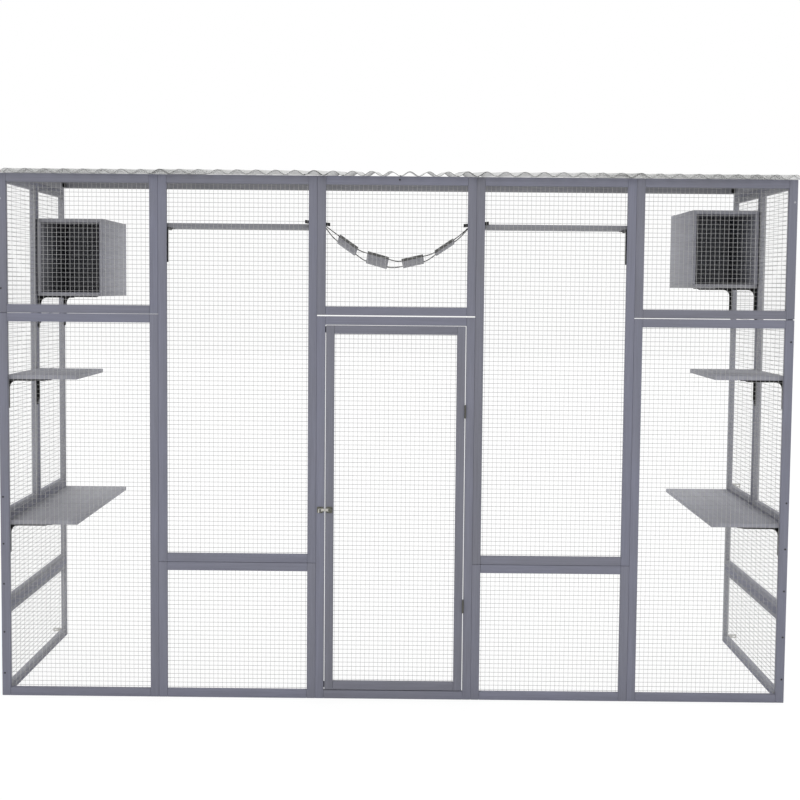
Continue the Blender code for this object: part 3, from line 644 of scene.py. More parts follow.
# The beam and its tapered boards get the copy with painted light.
boards.piece(inner_paint_with_painted_light, "enclosure", "painted_timber", "rear_beam")
print("beam", [round(value, 3) for value in beam_high], "slope", round(roof_slope, 4))

# %% Corner plates of the beam
corner_width, corner_height, corner_steel, corner_level = 0.013, 0.020, 0.002, 2.006
corner_plates = Boards("beam_corner_plates")
for _, hand in sides:
    inner = hand * inner_left
    toward = inner + hand * corner_width
    thin = inner + hand * corner_steel
    top = corner_level + corner_height
    corner_plates.add(
        (min(inner, toward), beam_front - corner_steel, corner_level),
        (max(inner, toward), beam_front, top), "X")
    corner_plates.add(
        (min(inner, thin), beam_front - corner_width, corner_level),
        (max(inner, thin), beam_front - corner_steel, top), "Y")
corner_plates.piece(black_coat, "enclosure", "black_steel")
print("corner plates", len(sides))

# %% [markdown]
# The net is welded from straight wires, so it isn't woven: one layer of upright wires and one
# of level wires behind it. Drawing each wire by hand would take thousands of calls. Geometry
# Nodes lay one layer from a width, a height and a pitch, and the level layer is the same
# drawing turned by a quarter. The uprights' zinc is painted paler than the levels', as painted
# light for what they catch from the sides of the room, and at the end walls it is painted paler
# still. A net laps over the timber it is stapled to.

# %% Helpers for shapes that repeat
quarter = Matrix.Rotation(math.pi / 2, 4, "Y")


def new_shape(name, inputs):
    return new_tree(
        name, "GeometryNodeTree", [("Geometry", "Geometry", None)] + inputs,
        [("Geometry", "Geometry")])


def vector_of(tree, *parts):
    return add_node(tree, "ShaderNodeCombineXYZ", dict(enumerate(parts)))


def end_shape(tree, leave, geometry, material):
    """Makes the instances real and gives them their material."""
    real = add_node(tree, "GeometryNodeRealizeInstances", {0: geometry})
    painted = add_node(tree, "GeometryNodeSetMaterial", {"Geometry": real, "Material": material})
    set_inputs(tree, leave, {0: painted})


def grow(tree, values, place, base=None):
    """Runs a tree with named values, and gives the result as a plain mesh in its place."""
    holder = bpy.data.objects.new(tree.name, base or bpy.data.meshes.new(tree.name))
    scene.collection.objects.link(holder)
    step = holder.modifiers.new(tree.name, "NODES")
    step.node_group = tree
    sockets = {
        item.name: item.identifier for item in tree.interface.items_tree
        if item.item_type == "SOCKET" and item.in_out == "INPUT"}
    for label, value in values.items():
        step[sockets[label]] = value
    shown = bpy.context.evaluated_depsgraph_get()
    made = bpy.data.meshes.new_from_object(holder.evaluated_get(shown))
    holder.modifiers.remove(step)
    bpy.data.objects.remove(holder, do_unlink=True)
    made.transform(place)
    return made


print("shape helpers ready")

# %% One layer of wires
net_pitch, wire_facets = 0.0168, 6
layer_tree, enter, leave = new_shape("wire_layer", [
    ("Width", "Float", 0.5), ("Height", "Float", 1.0), ("Pitch", "Float", net_pitch),
    ("Wire Radius", "Float", 0.0006), ("Facets", "Int", wire_facets),
    ("Material", "Material", None)])
gaps = math_node(
    layer_tree, "FLOOR", math_node(layer_tree, "DIVIDE", enter["Width"], enter["Pitch"]))
used = math_node(layer_tree, "MULTIPLY", gaps, enter["Pitch"])
spare = math_node(layer_tree, "SUBTRACT", enter["Width"], used)
margin = math_node(layer_tree, "MULTIPLY", spare, 0.5)
row = add_node(layer_tree, "GeometryNodeMeshLine", {
    "Count": math_node(layer_tree, "ADD", gaps, 1.0),
    "Start Location": vector_of(layer_tree, margin),
    "Offset": vector_of(layer_tree, enter["Pitch"])})
wire = add_node(layer_tree, "GeometryNodeCurvePrimitiveLine", {
    "End": vector_of(layer_tree, 0.0, 0.0, enter["Height"])})
ring = add_node(layer_tree, "GeometryNodeCurvePrimitiveCircle", {
    "Resolution": enter["Facets"], "Radius": enter["Wire Radius"]})
rod = add_node(layer_tree, "GeometryNodeCurveToMesh", {
    "Curve": wire, "Profile Curve": ring, "Fill Caps": True})
spread = add_node(layer_tree, "GeometryNodeInstanceOnPoints", {"Points": row, "Instance": rod})
end_shape(layer_tree, leave, spread, enter["Material"])
print("tree", layer_tree.name, "nodes", len(layer_tree.nodes))

# %% The welded net
net_lap = 0.018
upright_radius, level_radius, fine_radius = 0.00058, 0.00068, 0.00040
weld_sink = 0.0002
netted = [node for node in panel_nodes if node != "door_frame"]
nets = {
    f"net_{part}": [node for node in netted if node.startswith(start)]
    for part, start in (("front", "bay"), ("left", "left"), ("right", "right"), ("door", "door"))}
for net, nodes in nets.items():
    at_end = net in ("net_left", "net_right")
    uprights = fine_radius if at_end else upright_radius
    edge = stile_width - net_lap
    for layer in ("uprights", "levels"):
        # Uprights get a paler zinc with painted light, palest at the end walls.
        zinc = level_zinc if layer == "levels" else bright_zinc if at_end else upright_zinc_with_painted_light
        meshes = []
        for node in nodes:
            width, height, place = panel_place(node)
            across, along = width - 2 * edge, height - 2 * edge
            radius = uprights if layer == "uprights" else level_radius
            depth = timber_thickness + radius
            start = place @ Matrix.Translation((edge, depth, edge))
            if layer == "levels":
                depth += 2 * uprights - weld_sink
                start = place @ Matrix.Translation((edge, depth, height - edge)) @ quarter
                across, along = along, across
            meshes.append(grow(layer_tree, {
                "Width": across, "Height": along, "Wire Radius": radius, "Material": zinc},
                start))
        mesh = joined(f"{net}_{layer}", meshes)
        finish_piece(mesh.name, mesh, zinc, body_of_panel(nodes[0]))
        print(mesh.name, "faces", len(mesh.polygons))

# %% [markdown]
# The roof is made of five corrugated sheets, laid so that each lap nests wave in wave. A sheet
# could be bent by hand, but its wave is a cosine, so a grid that Geometry Nodes lift by that
# rule is exact. Solidify gives it the thickness that shows at the front edge. It slopes up to
# the beam at the rear.

# %% A corrugated sheet
wave_pitch, wave_height, wave_shift = 0.0718, 0.0168, -0.024
sheet_tree, enter, leave = new_shape("corrugated_sheet", [
    ("Width", "Float", 0.66), ("Length", "Float", 1.05), ("Wave Pitch", "Float", wave_pitch),
    ("Wave Height", "Float", wave_height), ("Wave Shift", "Float", 0.0), ("Steps", "Int", 200),
    ("Rows", "Int", 12), ("Material", "Material", None)])
grid = add_node(sheet_tree, "GeometryNodeMeshGrid", {
    "Size X": enter["Width"], "Size Y": enter["Length"], "Vertices X": enter["Steps"],
    "Vertices Y": enter["Rows"]})
parts = add_node(sheet_tree, "ShaderNodeSeparateXYZ", {
    0: sheet_tree.nodes.new("GeometryNodeInputPosition")})
along = math_node(sheet_tree, "SUBTRACT", parts.outputs["X"], enter["Wave Shift"])
waves = math_node(sheet_tree, "DIVIDE", along, enter["Wave Pitch"])
swing = math_node(sheet_tree, "COSINE", math_node(sheet_tree, "MULTIPLY", waves, math.tau))
share = math_node(sheet_tree, "MULTIPLY", math_node(sheet_tree, "ADD", swing, 1.0), 0.5)
lift = math_node(sheet_tree, "MULTIPLY", share, enter["Wave Height"])
bend = add_node(sheet_tree, "GeometryNodeSetPosition", {
    "Geometry": grid, "Offset": vector_of(sheet_tree, 0.0, 0.0, lift)})
end_shape(sheet_tree, leave, bend, enter["Material"])
print("tree", sheet_tree.name, "nodes", len(sheet_tree.nodes))

# %% Five sheets
sheet_count, sheet_thickness, contact_gap = 5, 0.0012, 0.0003
steps_per_wave, cover_steps, lap_steps, points_per_step = 8, 66, 8, 3
step_width = wave_pitch / steps_per_wave
front_overhang, rear_overhang = 0.030, 0.004
sheet_width = (cover_steps + lap_steps) * step_width
roof_left = -(sheet_count * cover_steps + lap_steps) * step_width / 2
roof_rear = beam_high.y + rear_overhang
roof_length = (roof_rear - (wall_front - front_overhang)) / math.cos(roof_slope)


def on_sheet(sheet, x, y, z):
    """The place on a sheet, which lies on the wall's top or on the sheets beside it."""
    raised = contact_gap + (sheet % 2) * (sheet_thickness + contact_gap)
    foot = Matrix.Translation((0.0, wall_front, wall_top + raised / math.cos(roof_slope)))
    return foot @ Matrix.Rotation(roof_slope, 4, "X") @ Matrix.Translation((x, y, z))


for sheet in range(sheet_count):
    middle = roof_left + sheet * cover_steps * step_width + sheet_width / 2
    reach = roof_length / 2 - front_overhang / math.cos(roof_slope)
    mesh = grow(sheet_tree, {
        "Width": sheet_width, "Length": roof_length, "Wave Shift": wave_shift - middle,
        "Steps": int(sheet_width / step_width) * points_per_step + 1, "Material": roof_skin},
        on_sheet(sheet, middle, reach, 0.0))
    made = finish_piece(
        f"roof_{sheet + 1}", mesh, roof_skin, "enclosure",
        (f"roof_sheet_{sheet + 1}",))
    # The rim of the solidified sheet gets the painted shade of the cut edge.
    mesh.materials.append(roof_cut_edge_painted_shade)
    wall = made.modifiers.new("sheet_wall", "SOLIDIFY")
    wall.thickness = sheet_thickness
    wall.offset = 1.0
    wall.material_offset_rim = 1
print("roof slope", round(math.degrees(roof_slope), 2), "degrees")

# %% [markdown]
# A bracket is a bent strap with a raised rib pressed along its middle, which rounds the inner
# corner. The arm carries a board and the leg is screwed to a post. Two outlines seen from the
# side hold its whole shape, so each is drawn as a line and given a width. It is drawn once,
# with the wall at Y zero and the arm's top at Z zero, and turned to each wall.

# %% Brackets
bracket_arm, bracket_leg = 0.168, 0.132
bracket_width, bracket_steel = 0.025, 0.003
rib_width, rib_end = 0.0075, 0.012
arm_rib, leg_rib = 0.0042, 0.0070
fillet, fillet_steps = 0.024, 8
coat_round, round_steps = 0.0005, 2


def bracket_outlines():
    """The strap and the rib as lines seen from the side, each with its width."""
    steel = bracket_steel
    strap_line = [
        (0.0, 0.0), (bracket_arm, 0.0), (bracket_arm, -steel), (steel, -steel),
        (steel, -bracket_leg), (0.0, -bracket_leg)]
    middle, arm_face, leg_face = steel / 2, steel + arm_rib, steel + leg_rib
    arm_end, leg_end = bracket_arm - rib_end, bracket_leg - rib_end
    rib_line = [(middle, -middle), (arm_end, -middle), (arm_end - rib_end, -arm_face)]
    for step in range(fillet_steps + 1):
        angle = math.pi / 2 * (1.0 + step / fillet_steps)
        rib_line.append((
            leg_face + fillet * (1.0 + math.cos(angle)),
            -arm_face - fillet * (1.0 - math.sin(angle))))
    rib_line += [(leg_face, -leg_end + rib_end), (middle, -leg_end)]
    return ((strap_line, bracket_width), (rib_line, rib_width))


def swept_outline(name, outline, width, centre):
    """An outline in Y and Z, given a width along X and rounded along both its faces."""
    bm = bmesh.new()
    near, far = [
        [bm.verts.new((centre + way * width / 2, y, z)) for y, z in outline]
        for way in (-1.0, 1.0)]
    faces = [bm.faces.new(near), bm.faces.new(list(reversed(far)))]
    for index in range(len(outline)):
        after = (index + 1) % len(outline)
        bm.faces.new((near[index], far[index], far[after], near[after]))
    edges = {edge for face in faces for edge in face.edges}
    bmesh.ops.bevel(
        bm, geom=list(edges), offset=coat_round, segments=round_steps, profile=round_profile,
        affect="EDGES")
    mesh = bpy.data.meshes.new(name)
    bm.to_mesh(mesh)
    bm.free()
    return mesh


def bracket_mesh(name, centres, place):
    mesh = joined(name, [
        swept_outline(name, outline, width, centre)
        for centre in centres for outline, width in bracket_outlines()])
    mesh.transform(place)
    return mesh


print("points of the outlines", [len(outline) for outline, _ in bracket_outlines()])

# %% [markdown]
# Shelves are single boards on two brackets. Boards of the side shelves run from front to rear,
# so their grain does too. One bracket stands on the front post. The other stands on the middle
# post under an upper shelf, and on the rear post under a lower one.

# %% Side shelves
shelf_thickness = 0.016
end_wall_place, end_wall_inner = 1.5, 0.0209
end_wall_front, end_wall_rear, middle_post = 0.0103, 1.0, 0.489
post_centres = {
    "front": end_wall_front + stile_width / 2, "middle": middle_post,
    "rear": end_wall_rear - stile_width / 2}


def on_end_wall(hand, level):
    """The place of a bracket drawing on an end wall's inner face, at a level."""
    face = Matrix.Translation((hand * (end_wall_place - end_wall_inner), 0.0, level))
    return face @ Matrix.Rotation(hand * math.pi / 2, 4, "Z")


for side, hand in sides:
    for level, rear_post in (("upper", "middle"), ("lower", "rear")):
        node = f"{side}_shelf_{level}"
        low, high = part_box(node)
        low.z = high.z - shelf_thickness
        boards = Boards(f"{side}_{level}_board")
        boards.add(low, high, "Y")
        # Shelf boards get the lighter copy with painted light.
        boards.piece(shelf_paint_with_painted_light, "enclosure", "painted_timber", node)
        name = f"{side}_{level}_brackets"
        centres = [hand * post_centres[post] for post in ("front", rear_post)]
        black_piece(name, bracket_mesh(name, centres, on_end_wall(hand, low.z)), node)
print("side shelves", 2 * len(sides))

# %% High shelves
high_thickness, high_board_start = 0.015, 0.0142
high_board_ends, high_posts, front_inner = (0.8835, 0.3065), (0.8735, 0.319), 0.0109
for side, hand in sides:
    node = f"high_shelf_{side}"
    low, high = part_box(node)
    floor = high.z - high_thickness
    left_end, right_end = sorted(hand * end for end in high_board_ends)
    boards = Boards(f"high_{side}_board")
    boards.add((left_end, high_board_start, floor), (right_end, high.y, high.z), "X")
    # High shelf boards get the copy with painted light.
    boards.piece(inner_paint_with_painted_light, "enclosure", "painted_timber", node)
    name = f"high_{side}_brackets"
    place = Matrix.Translation((0.0, front_inner, floor))
    black_piece(name, bracket_mesh(name, [hand * post for post in high_posts], place), node)
print("high shelves", len(sides))

# %% [markdown]
# A resting box is five boards with an open front. Its sides stand between the top and the
# floor, and the back closes it. A hollowed block would look alike from outside, but boards show
# their butted edges at the front. It is dark inside because little light reaches its depth.

# %% Resting boxes
box_board, box_front_post = 0.015, 0.5213
box_posts = (("front", box_front_post), ("rear", post_centres["rear"]))
for side, hand in sides:
    low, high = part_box(f"{side}_box")
    back = high.y - box_board
    inner_low = Vector((low.x + box_board, low.y, low.z + box_board))
    inner_high = Vector((high.x - box_board, back, high.z - box_board))
    boards = Boards(f"{side}_resting_box")
    boards.add(low, (high.x, high.y, inner_low.z), "Y")
    boards.add((low.x, low.y, inner_high.z), high, "Y")
    boards.add((low.x, low.y, inner_low.z), (inner_low.x, high.y, inner_high.z), "Y")
    boards.add((inner_high.x, low.y, inner_low.z), (high.x, high.y, inner_high.z), "Y")
    boards.add((inner_low.x, back, inner_low.z), (inner_high.x, high.y, inner_high.z), "X")
    # The boxes get the lighter copy with painted light, and their dark inside comes from the light
    # alone.
    boards.piece(shelf_paint_with_painted_light, "enclosure", "painted_timber", f"{side}_box")
    for name, post in box_posts:
        node = f"{side}_box_bracket_{name}"
        place = on_end_wall(hand, low.z - contact_gap)
        mesh = bracket_mesh(f"{node}_dressed", [hand * post], place)
        black_piece(mesh.name, mesh, node)
print("boxes", len(sides))

# %% [markdown]
# The bridge hangs from two pins. Its slats follow a parabola below the pins, which is the curve
# of a bridge that carries its load evenly, and each leans a little, as it hangs in the picture.
# The slats' front edges are darker, as painted shade on the near edge: each has a thin dark skin
# over that edge.

# %% Bridge slats
pin_height, pin_depth = 1.828, 0.130
centre_bay_width, ring_place, bridge_drop = 0.597, 0.006, 0.158
bridge_half = (centre_bay_width - 2 * ring_place) / 2
slat_length, slat_width, slat_thickness = 0.084, 0.170, 0.012
slat_lean_degrees = (8.0, 11.5, 7.5, 3.0)
slat_place_shares = (-0.318, -0.125, 0.104, 0.307)
edge_skin, edge_inset, edge_half = 0.0006, 0.0010, 0.005
bridge_place = Matrix.Translation((0.0, pin_depth, pin_height))


def slat_frame(share, lean_degrees):
    """The place of a slat, from its share of the bay's width and its lean."""
    x = share * centre_bay_width
    way_out = x / bridge_half
    level = bridge_drop * (way_out * way_out - 1.0)
    slope = 2 * bridge_drop / bridge_half * way_out
    turn = Matrix.Rotation(-math.atan(slope), 4, "Y")
    lean = Matrix.Rotation(-math.radians(lean_degrees), 4, "X")
    return bridge_place @ Matrix.Translation((x, 0.0, level)) @ turn @ lean


slat_frames = [
    slat_frame(share, lean) for share, lean in zip(slat_place_shares, slat_lean_degrees)]
for number, place in enumerate(slat_frames, 1):
    boards = Boards(f"slat_{number}")
    half = Vector((slat_length, slat_width, slat_thickness)) / 2
    boards.add(-half, half, "Y", turn=place)
    # Slats get the lighter copy with painted light.
    boards.piece(shelf_paint_with_painted_light, "bridge", "painted_timber", f"bridge_slat_{number}")
# The dark skins are painted shade on the slats' front edges.
edge_boards = Boards("slat_edges")
for place in slat_frames:
    low = Vector((edge_inset - slat_length / 2, -slat_width / 2 - edge_skin, -edge_half))
    high = Vector((slat_length / 2 - edge_inset, edge_inset - slat_width / 2, edge_half))
    edge_boards.add(low, high, "X", turn=place)
edge_boards.piece(slat_edge_painted_shade, "bridge", "painted_timber")
print("slats", len(slat_frames))

# %% [markdown]
# Each rope is threaded through the slats from ring to ring, and curves smoothly between them.
# It is laid from three strands. Three wound tubes would need far more faces, so its section is
# a three-lobed ring of points that turns as it goes. A skin over such rings makes both the
# ropes and the wire rings that they are tied to.

# %% Rope routes
rope_spread, rope_radius = 0.140, 0.0020
rope_gap_points, rope_end_points, rope_slat_points = 3, 6, 2
rope_tie_spread, rope_tie_stub = 0.005, 0.004
ring_wire, ring_radius, pin_radius = 0.0020, 0.0085, 0.0030
ring_drop = ring_radius - ring_wire - pin_radius - contact_gap


def smooth_run(start, start_way, end, end_way, count):
    """Points between two ends, on the curve that leaves and meets them in given ways."""
    pull = (end - start).length
    found = []
    for index in range(1, count + 1):
        t = index / (count + 1)
        square, cube = t * t, t * t * t
        found.append(
            start * (2 * cube - 3 * square + 1) + start_way * pull * (cube - 2 * square + t)
            + end * (3 * square - 2 * cube) + end_way * pull * (cube - square))
    return found


def rope_route(row):
    """A rope's points from ring to ring, through the slats at a row's place across them."""
    tie_level = -ring_drop - ring_radius * math.cos(math.asin(rope_tie_spread / ring_radius))
    reach = bridge_half - ring_wire - contact_gap
    tie_y = math.copysign(rope_tie_spread, row)
    start = bridge_place @ Vector((-reach, tie_y, tie_level))
    finish = bridge_place @ Vector((reach, tie_y, tie_level))
    stub = Vector((rope_tie_stub, 0.0, 0.0))
    half = slat_length / 2
    runs = [
        (place @ Vector((-half, row, 0.0)), place @ Vector((half, row, 0.0)))
        for place in slat_frames]
    here, last = start + stub, finish - stub
    points = [start, here]
    way = (runs[0][0] - here).normalized()
    for number, (entry, leave_point) in enumerate(runs):
        along = (leave_point - entry).normalized()
        count = rope_gap_points if number else rope_end_points
        points += smooth_run(here, way, entry, along, count)
        for step in range(rope_slat_points + 2):
            points.append(entry.lerp(leave_point, step / (rope_slat_points + 1)))
        here, way = leave_point, along
    points += smooth_run(here, way, last, (last - here).normalized(), rope_end_points)
    return points + [last, finish]


routes = {"near": rope_route(-rope_spread / 2), "far": rope_route(rope_spread / 2)}
print("route points", [len(route) for route in routes.values()])

# %% Bridge ropes
strand_pitch, strands, lobe_depth = 0.016, 3.0, 0.16
centre_step, rope_facets = 0.0010, 15


def skinned(name, rings, closed):
    """A tube through rings of points, which closes on itself or ends in two lids."""
    count, around = len(rings), len(rings[0])
    faces = []
    for index in range(count if closed else count - 1):
        here, ahead_ring = index * around, (index + 1) % count * around
        for step in range(around):
            after = (step + 1) % around
            faces.append((here + step, here + after, ahead_ring + after, ahead_ring + step))
    if not closed:
        faces.append(tuple(reversed(range(around))))
        faces.append(tuple((count - 1) * around + step for step in range(around)))
    mesh = bpy.data.meshes.new(name)
    mesh.from_pydata([point for ring in rings for point in ring], [], faces)
    return joined(name, [mesh])


def even_centres(points):
    """Points a small step apart along a route, and the route's length."""
    lengths = [0.0]
    for first, second in zip(points, points[1:]):
        lengths.append(lengths[-1] + (second - first).length)
    total = lengths[-1]
    count = int(total / centre_step)
    centres, segment = [], 0
    for index in range(count + 1):
        target = total * index / count
        while segment < len(lengths) - 2 and lengths[segment + 1] < target:
            segment += 1
        share = (target - lengths[segment]) / (lengths[segment + 1] - lengths[segment])
        centres.append(points[segment].lerp(points[segment + 1], share))
    return centres, total


def rope_rings(centres, total):
    """Lobed rings of points along the rope, each turned a little further than the last."""
    count = len(centres) - 1
    upright = Vector((0.0, 0.0, 1.0))
    rings = []
    for index, centre in enumerate(centres):
        way = centres[min(index + 1, count)] - centres[max(index - 1, 0)]
        way.normalize()
        across = way.cross(upright).normalized()
        upward = across.cross(way)
        twist = math.tau * (total * index / count) / strand_pitch
        ring = []
        for step in range(rope_facets):
            angle = math.tau * step / rope_facets
            swell = 1.0 - lobe_depth * (0.5 + 0.5 * math.cos(strands * (angle - twist)))
            offset = across * math.cos(angle) + upward * math.sin(angle)
            ring.append(centre + offset * rope_radius * swell)
        rings.append(ring)
    return rings


for name, route in routes.items():
    centres, length = even_centres(route)
    made = finish_piece(
        f"rope_{name}", skinned(f"rope_{name}", rope_rings(centres, length), closed=False),
        rope_fibre, "bridge", (f"bridge_rope_{name}",))
    print("rope", name, "length", round(length, 4))

# %% Bridge rings
ring_steps, wire_steps = 32, 12
for side, hand in sides:
    centre = Vector((hand * bridge_half, pin_depth, pin_height - ring_drop))
    rings = []
    for index in range(ring_steps):
        turn_angle = math.tau * index / ring_steps
        out = Vector((0.0, math.sin(turn_angle), math.cos(turn_angle)))
        rings.append([])
        for step in range(wire_steps):
            angle = math.tau * step / wire_steps
            offset = out * (ring_radius + ring_wire * math.cos(angle))
            offset.x = ring_wire * math.sin(angle)
            rings[-1].append(centre + offset)
    finish_piece(
        f"ring_{side}", skinned(f"ring_{side}", rings, closed=True), fitting_zinc, "bridge",
        (f"bridge_ring_{side}",))
print("rings", len(sides))

# %% [markdown]
# The hangers of the bridge are black straps across the seams, each with a bent pin. Under the
# pull of the bridge each strap has settled and leans inwards a little. It could be drawn anew,
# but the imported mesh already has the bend, so a copy of it is merged and only the strap's own
# points move. The pin keeps its place in the ring.

# %% Bridge hangers
strap_steel, strap_long, strap_margin = 0.0030, 0.095, 0.012
strap_lean, strap_settle, strap_share = 0.11, 0.0065, 0.8
merge_reach = 0.00001


def leaned(x, z, middle, hand):
    """The height on the leaning strap of a point at x and z on the level one."""
    settled = pin_height + strap_share * (z - pin_height) - strap_settle
    return settled + hand * strap_lean * (x - middle)


strap_middles = {}
for side, hand in sides:
    node = f"bridge_hanger_{side}"
    low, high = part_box(node)
    outer = low.x if hand < 0 else high.x
    middle = strap_middles[side] = outer - hand * strap_long / 2
    shape = bmesh.new()
    shape.from_mesh(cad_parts[node].data)
    bmesh.ops.remove_doubles(shape, verts=shape.verts, dist=merge_reach)
    for corner in shape.verts:
        if corner.co.y < low.y + strap_steel + contact_gap:
            corner.co.z = leaned(corner.co.x, corner.co.z, middle, hand)
    bmesh.ops.recalc_face_normals(shape, faces=shape.faces)
    mesh = bpy.data.meshes.new(f"{node}_dressed")
    shape.to_mesh(mesh)
    shape.free()
    black_piece(mesh.name, mesh, node)
print("hangers", len(strap_middles))

# %% [markdown]
# The other fittings were packed in the shape that they need: hinges, latch, door stops and wall
# tabs. They aren't drawn again, and only their material slots get a finish.

# %% Fittings that keep their shape
fittings = {
    "door_stop_top": black_coat, "door_stop_bottom": black_coat,
    "hinge_top_frame_leaf": dull_zinc, "hinge_bottom_frame_leaf": dull_zinc,
    "hinge_top_door_leaf": dull_zinc, "hinge_bottom_door_leaf": dull_zinc,
    "latch_keeper": dull_zinc, "latch_plate": dull_zinc, "latch_hook": fitting_zinc,
    "wall_tab_left_low": fitting_zinc, "wall_tab_right_low": fitting_zinc,
    "wall_tab_right_middle": fitting_zinc}
for node, material in fittings.items():
    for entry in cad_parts[node].material_slots:
        entry.material = material
print("fittings", len(fittings))

# %% [markdown]
# Screws hold the panels and fittings. A screw's head is a low cone with a square drive. Heads
# could be copied one by one, but a tree that sets the same head on every point of a small mesh
# lets a list of spots stand for a whole row.

# %% A screw's head
top_share, drive_share, drive_depth_share, cone_share = 0.65, 0.4, 0.4, 0.35
head_tree, enter, leave = new_shape("screw_heads", [
    ("Head Radius", "Float", 0.004), ("Head Height", "Float", 0.0016),
    ("Top Radius", "Float", 0.0026), ("Drive Radius", "Float", 0.0016), ("Sides", "Int", 16),
    ("Drive Sides", "Int", 4), ("Material", "Material", None)])
cone = add_node(head_tree, "GeometryNodeMeshCone", {
    "Vertices": enter["Sides"], "Radius Top": enter["Top Radius"],
    "Radius Bottom": enter["Head Radius"], "Depth": enter["Head Height"]})
drive = add_node(head_tree, "GeometryNodeMeshCylinder", {
    "Vertices": enter["Drive Sides"], "Radius": enter["Drive Radius"],
    "Depth": math_node(head_tree, "MULTIPLY", enter["Head Height"], drive_depth_share)})
raised_drive = add_node(head_tree, "GeometryNodeTransform", {
    "Geometry": drive, "Translation": vector_of(head_tree, 0.0, 0.0, enter["Head Height"])})
both = add_node(head_tree, "GeometryNodeJoinGeometry", {0: cone})
set_inputs(head_tree, both, {0: raised_drive})
set_heads = add_node(head_tree, "GeometryNodeInstanceOnPoints", {
    "Points": enter["Geometry"], "Instance": both})
end_shape(head_tree, leave, set_heads, enter["Material"])


def heads(name, spots, place, material, radius, rise=cone_share):
    """Screw heads on spots of a flat face, whose outward way is the place's Z."""
    start = bpy.data.meshes.new(name)
    start.from_pydata([(x, y, 0.0) for x, y in spots], [], [])
    return grow(head_tree, {
        "Head Radius": radius, "Top Radius": top_share * radius, "Head Height": rise * radius,
        "Drive Radius": drive_share * radius, "Material": material}, place, base=start)


def facing(origin, *outward):
    """An upright place whose Z looks outward and whose Y looks up."""
    outward, upward = Vector(outward), Vector((0.0, 0.0, 1.0))
    turn = Matrix((upward.cross(outward), upward, outward)).transposed().to_4x4()
    return Matrix.Translation(origin) @ turn


def steel_screws(name, meshes):
    """One piece of several rows of screws."""
    mesh = joined(name, meshes)
    finish_piece(name, mesh, screw_steel, "enclosure")
    print(name, "faces", len(mesh.polygons))


print("tree", head_tree.name, "nodes", len(head_tree.nodes))

# %% Screws and plugs of the corner stiles
corner_screw, plug = 0.0036, 0.0040
corner_place = 1.4895
left_levels = (1.560, 0.768, 0.588, 0.433, 0.247, 0.087)
right_levels = (1.384, 0.772, 0.595, 0.433, 0.255, 0.091)
top_rail_spot = (0.010, 1.978)
left_plug_level, right_plug_level = 1.896, 1.907
dark_spots = [(-corner_place, z) for z in left_levels]
dark_spots += [(corner_place, z) for z in right_levels]
dark_spots.append(top_rail_spot)
plug_spots = [(-corner_place, left_plug_level), (corner_place, right_plug_level)]
front_face = facing((0.0, wall_front, 0.0), 0.0, -1.0, 0.0)
finish_piece(
    "front_screws", heads("front_screws", dark_spots, front_face, screw_steel, corner_screw),
    screw_steel, "enclosure")
finish_piece(
    "front_plugs", heads("front_plugs", plug_spots, front_face, plug_white, plug),
    plug_white, "enclosure")
print("front screws", len(dark_spots), "plugs", len(plug_spots))

# %% Screws of the brackets
bracket_screw, bracket_screw_drops = 0.0019, (0.040, 0.115)
lane = (bracket_width + rib_width) / 4


def leg_spots(posts, mirror=1.0):
    """Four spots on each leg, two at each side of its rib, from its post and its arm's top."""
    return [
        (mirror * post + way * lane, arm_top - drop)
        for post, arm_top in posts for way in (-1.0, 1.0) for drop in bracket_screw_drops]


meshes = []
for side, hand in sides:
    wall_inside = hand * (end_wall_place - end_wall_inner - bracket_steel)
    upper, lower = [
        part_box(f"{side}_shelf_{level}")[1].z - shelf_thickness for level in ("upper", "lower")]
    under_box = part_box(f"{side}_box")[0].z - contact_gap
    posts = [
        (post_centres["front"], upper), (post_centres["middle"], upper),
        (post_centres["front"], lower), (post_centres["rear"], lower)]
    posts += [(post, under_box) for _, post in box_posts]
    meshes.append(heads(
        f"{side}_bracket_screws", leg_spots(posts, -hand),
        facing((wall_inside, 0.0, 0.0), -hand, 0.0, 0.0), screw_steel, bracket_screw))
high_face = facing((0.0, front_inner + bracket_steel, 0.0), 0.0, 1.0, 0.0)
for side, hand in sides:
    arm_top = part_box(f"high_shelf_{side}")[1].z - high_thickness
    meshes.append(heads(
        f"{side}_high_screws", leg_spots([(post, arm_top) for post in high_posts], -hand),
        high_face, screw_steel, bracket_screw))
steel_screws("bracket_screws", meshes)

# %% Screws of the latch and the hangers
latch_screw, hanger_screw, hanger_screw_drop = 0.0017, 0.0026, 0.008
latch_steel, flush_rise = 0.0015, 0.1
latch_spots = {
    "latch_keeper": ("enclosure", [(0.0, 0.0084), (0.006, -0.0084)]),
    "latch_plate": ("door", [(0.009, 0.0066), (-0.007, -0.0084)])}
for node, (body, spots) in latch_spots.items():
    low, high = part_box(node)
    middle = ((low.x + high.x) / 2, high.y - latch_steel, (low.z + high.z) / 2)
    mesh = heads(
        f"{node}_screws", spots, facing(middle, 0.0, -1.0, 0.0), screw_steel, latch_screw,
        flush_rise)
    finish_piece(mesh.name, mesh, screw_steel, body)
meshes = []
for side, hand in sides:
    strap_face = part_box(f"bridge_hanger_{side}")[0].y + strap_steel
    middle, reach = strap_middles[side], strap_long / 2 - strap_margin
    spots = [
        (-x, leaned(x, pin_height - hanger_screw_drop, middle, hand))
        for x in (middle - reach, middle + reach)]
    meshes.append(heads(
        f"{side}_hanger_screws", spots, facing((0.0, strap_face, 0.0), 0.0, 1.0, 0.0),
        screw_steel, hanger_screw))
steel_screws("hanger_screws", meshes)

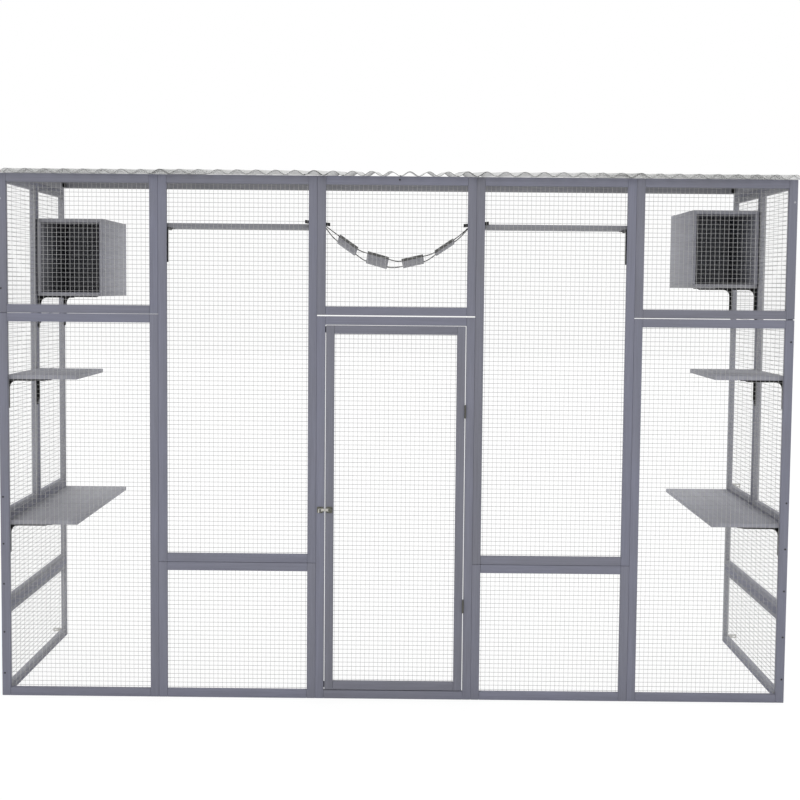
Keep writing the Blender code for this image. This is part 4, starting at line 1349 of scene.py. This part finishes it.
# %% [markdown]
# The roof's screws sit in the troughs of the sheets, above the front rail and the beam, as a
# trough rests on what is under it. The trough nearest to each chosen share of a sheet's width
# is worked out from the wave, so the screws stay in troughs when the wave changes.

# %% Screws of the roof
roof_screw, roof_screw_inset = 0.0050, 0.010
screw_place_shares = (0.18, 0.5, 0.82)
meshes = []
for sheet in range(sheet_count):
    spots = []
    for share in screw_place_shares:
        aim = roof_left + sheet * cover_steps * step_width + share * sheet_width
        trough = round((aim - wave_shift) / wave_pitch - 0.5) + 0.5
        for y in (roof_screw_inset, beam_front - wall_front + roof_screw_inset):
            spots.append((wave_shift + trough * wave_pitch, y / math.cos(roof_slope)))
    meshes.append(heads(
        f"roof_screws_{sheet}", spots, on_sheet(sheet, 0.0, 0.0, sheet_thickness), screw_steel,
        roof_screw))
steel_screws("roof_screws", meshes)

# %% [markdown]
# Staples hold the net to the timber. Only their crowns show, which are short wires in a row, so
# the tree of the net lays them too, some net gaps apart.

# %% Staples of the net
gaps_per_staple, crown_length, crown_radius, crown_inset = 6, 0.010, 0.0006, 0.002
crown_depth = timber_thickness + 2 * (upright_radius + level_radius) + crown_radius - weld_sink
near_edge = stile_width - net_lap + crown_inset


def staple_row(length, place):
    """Crowns along a board of the panel, between its corners."""
    return grow(layer_tree, {
        "Width": length - 2 * stile_width, "Height": crown_length,
        "Pitch": gaps_per_staple * net_pitch, "Wire Radius": crown_radius,
        "Material": fitting_zinc}, place)


staples = {"enclosure": [], "door": []}
for node in netted:
    width, height, place = panel_place(node)
    rows = staples[body_of_panel(node)]
    for x in (near_edge, width - near_edge - crown_length):
        start = place @ Matrix.Translation((x, crown_depth, height - stile_width))
        rows.append(staple_row(height, start @ quarter))
    for z in (near_edge, height - near_edge - crown_length):
        rows.append(staple_row(width, place @ Matrix.Translation((stile_width, crown_depth, z))))
for name, body in (("net_staples", "enclosure"), ("door_staples", "door")):
    mesh = joined(name, staples[body])
    finish_piece(name, mesh, fitting_zinc, body)
    print(name, "faces", len(mesh.polygons))
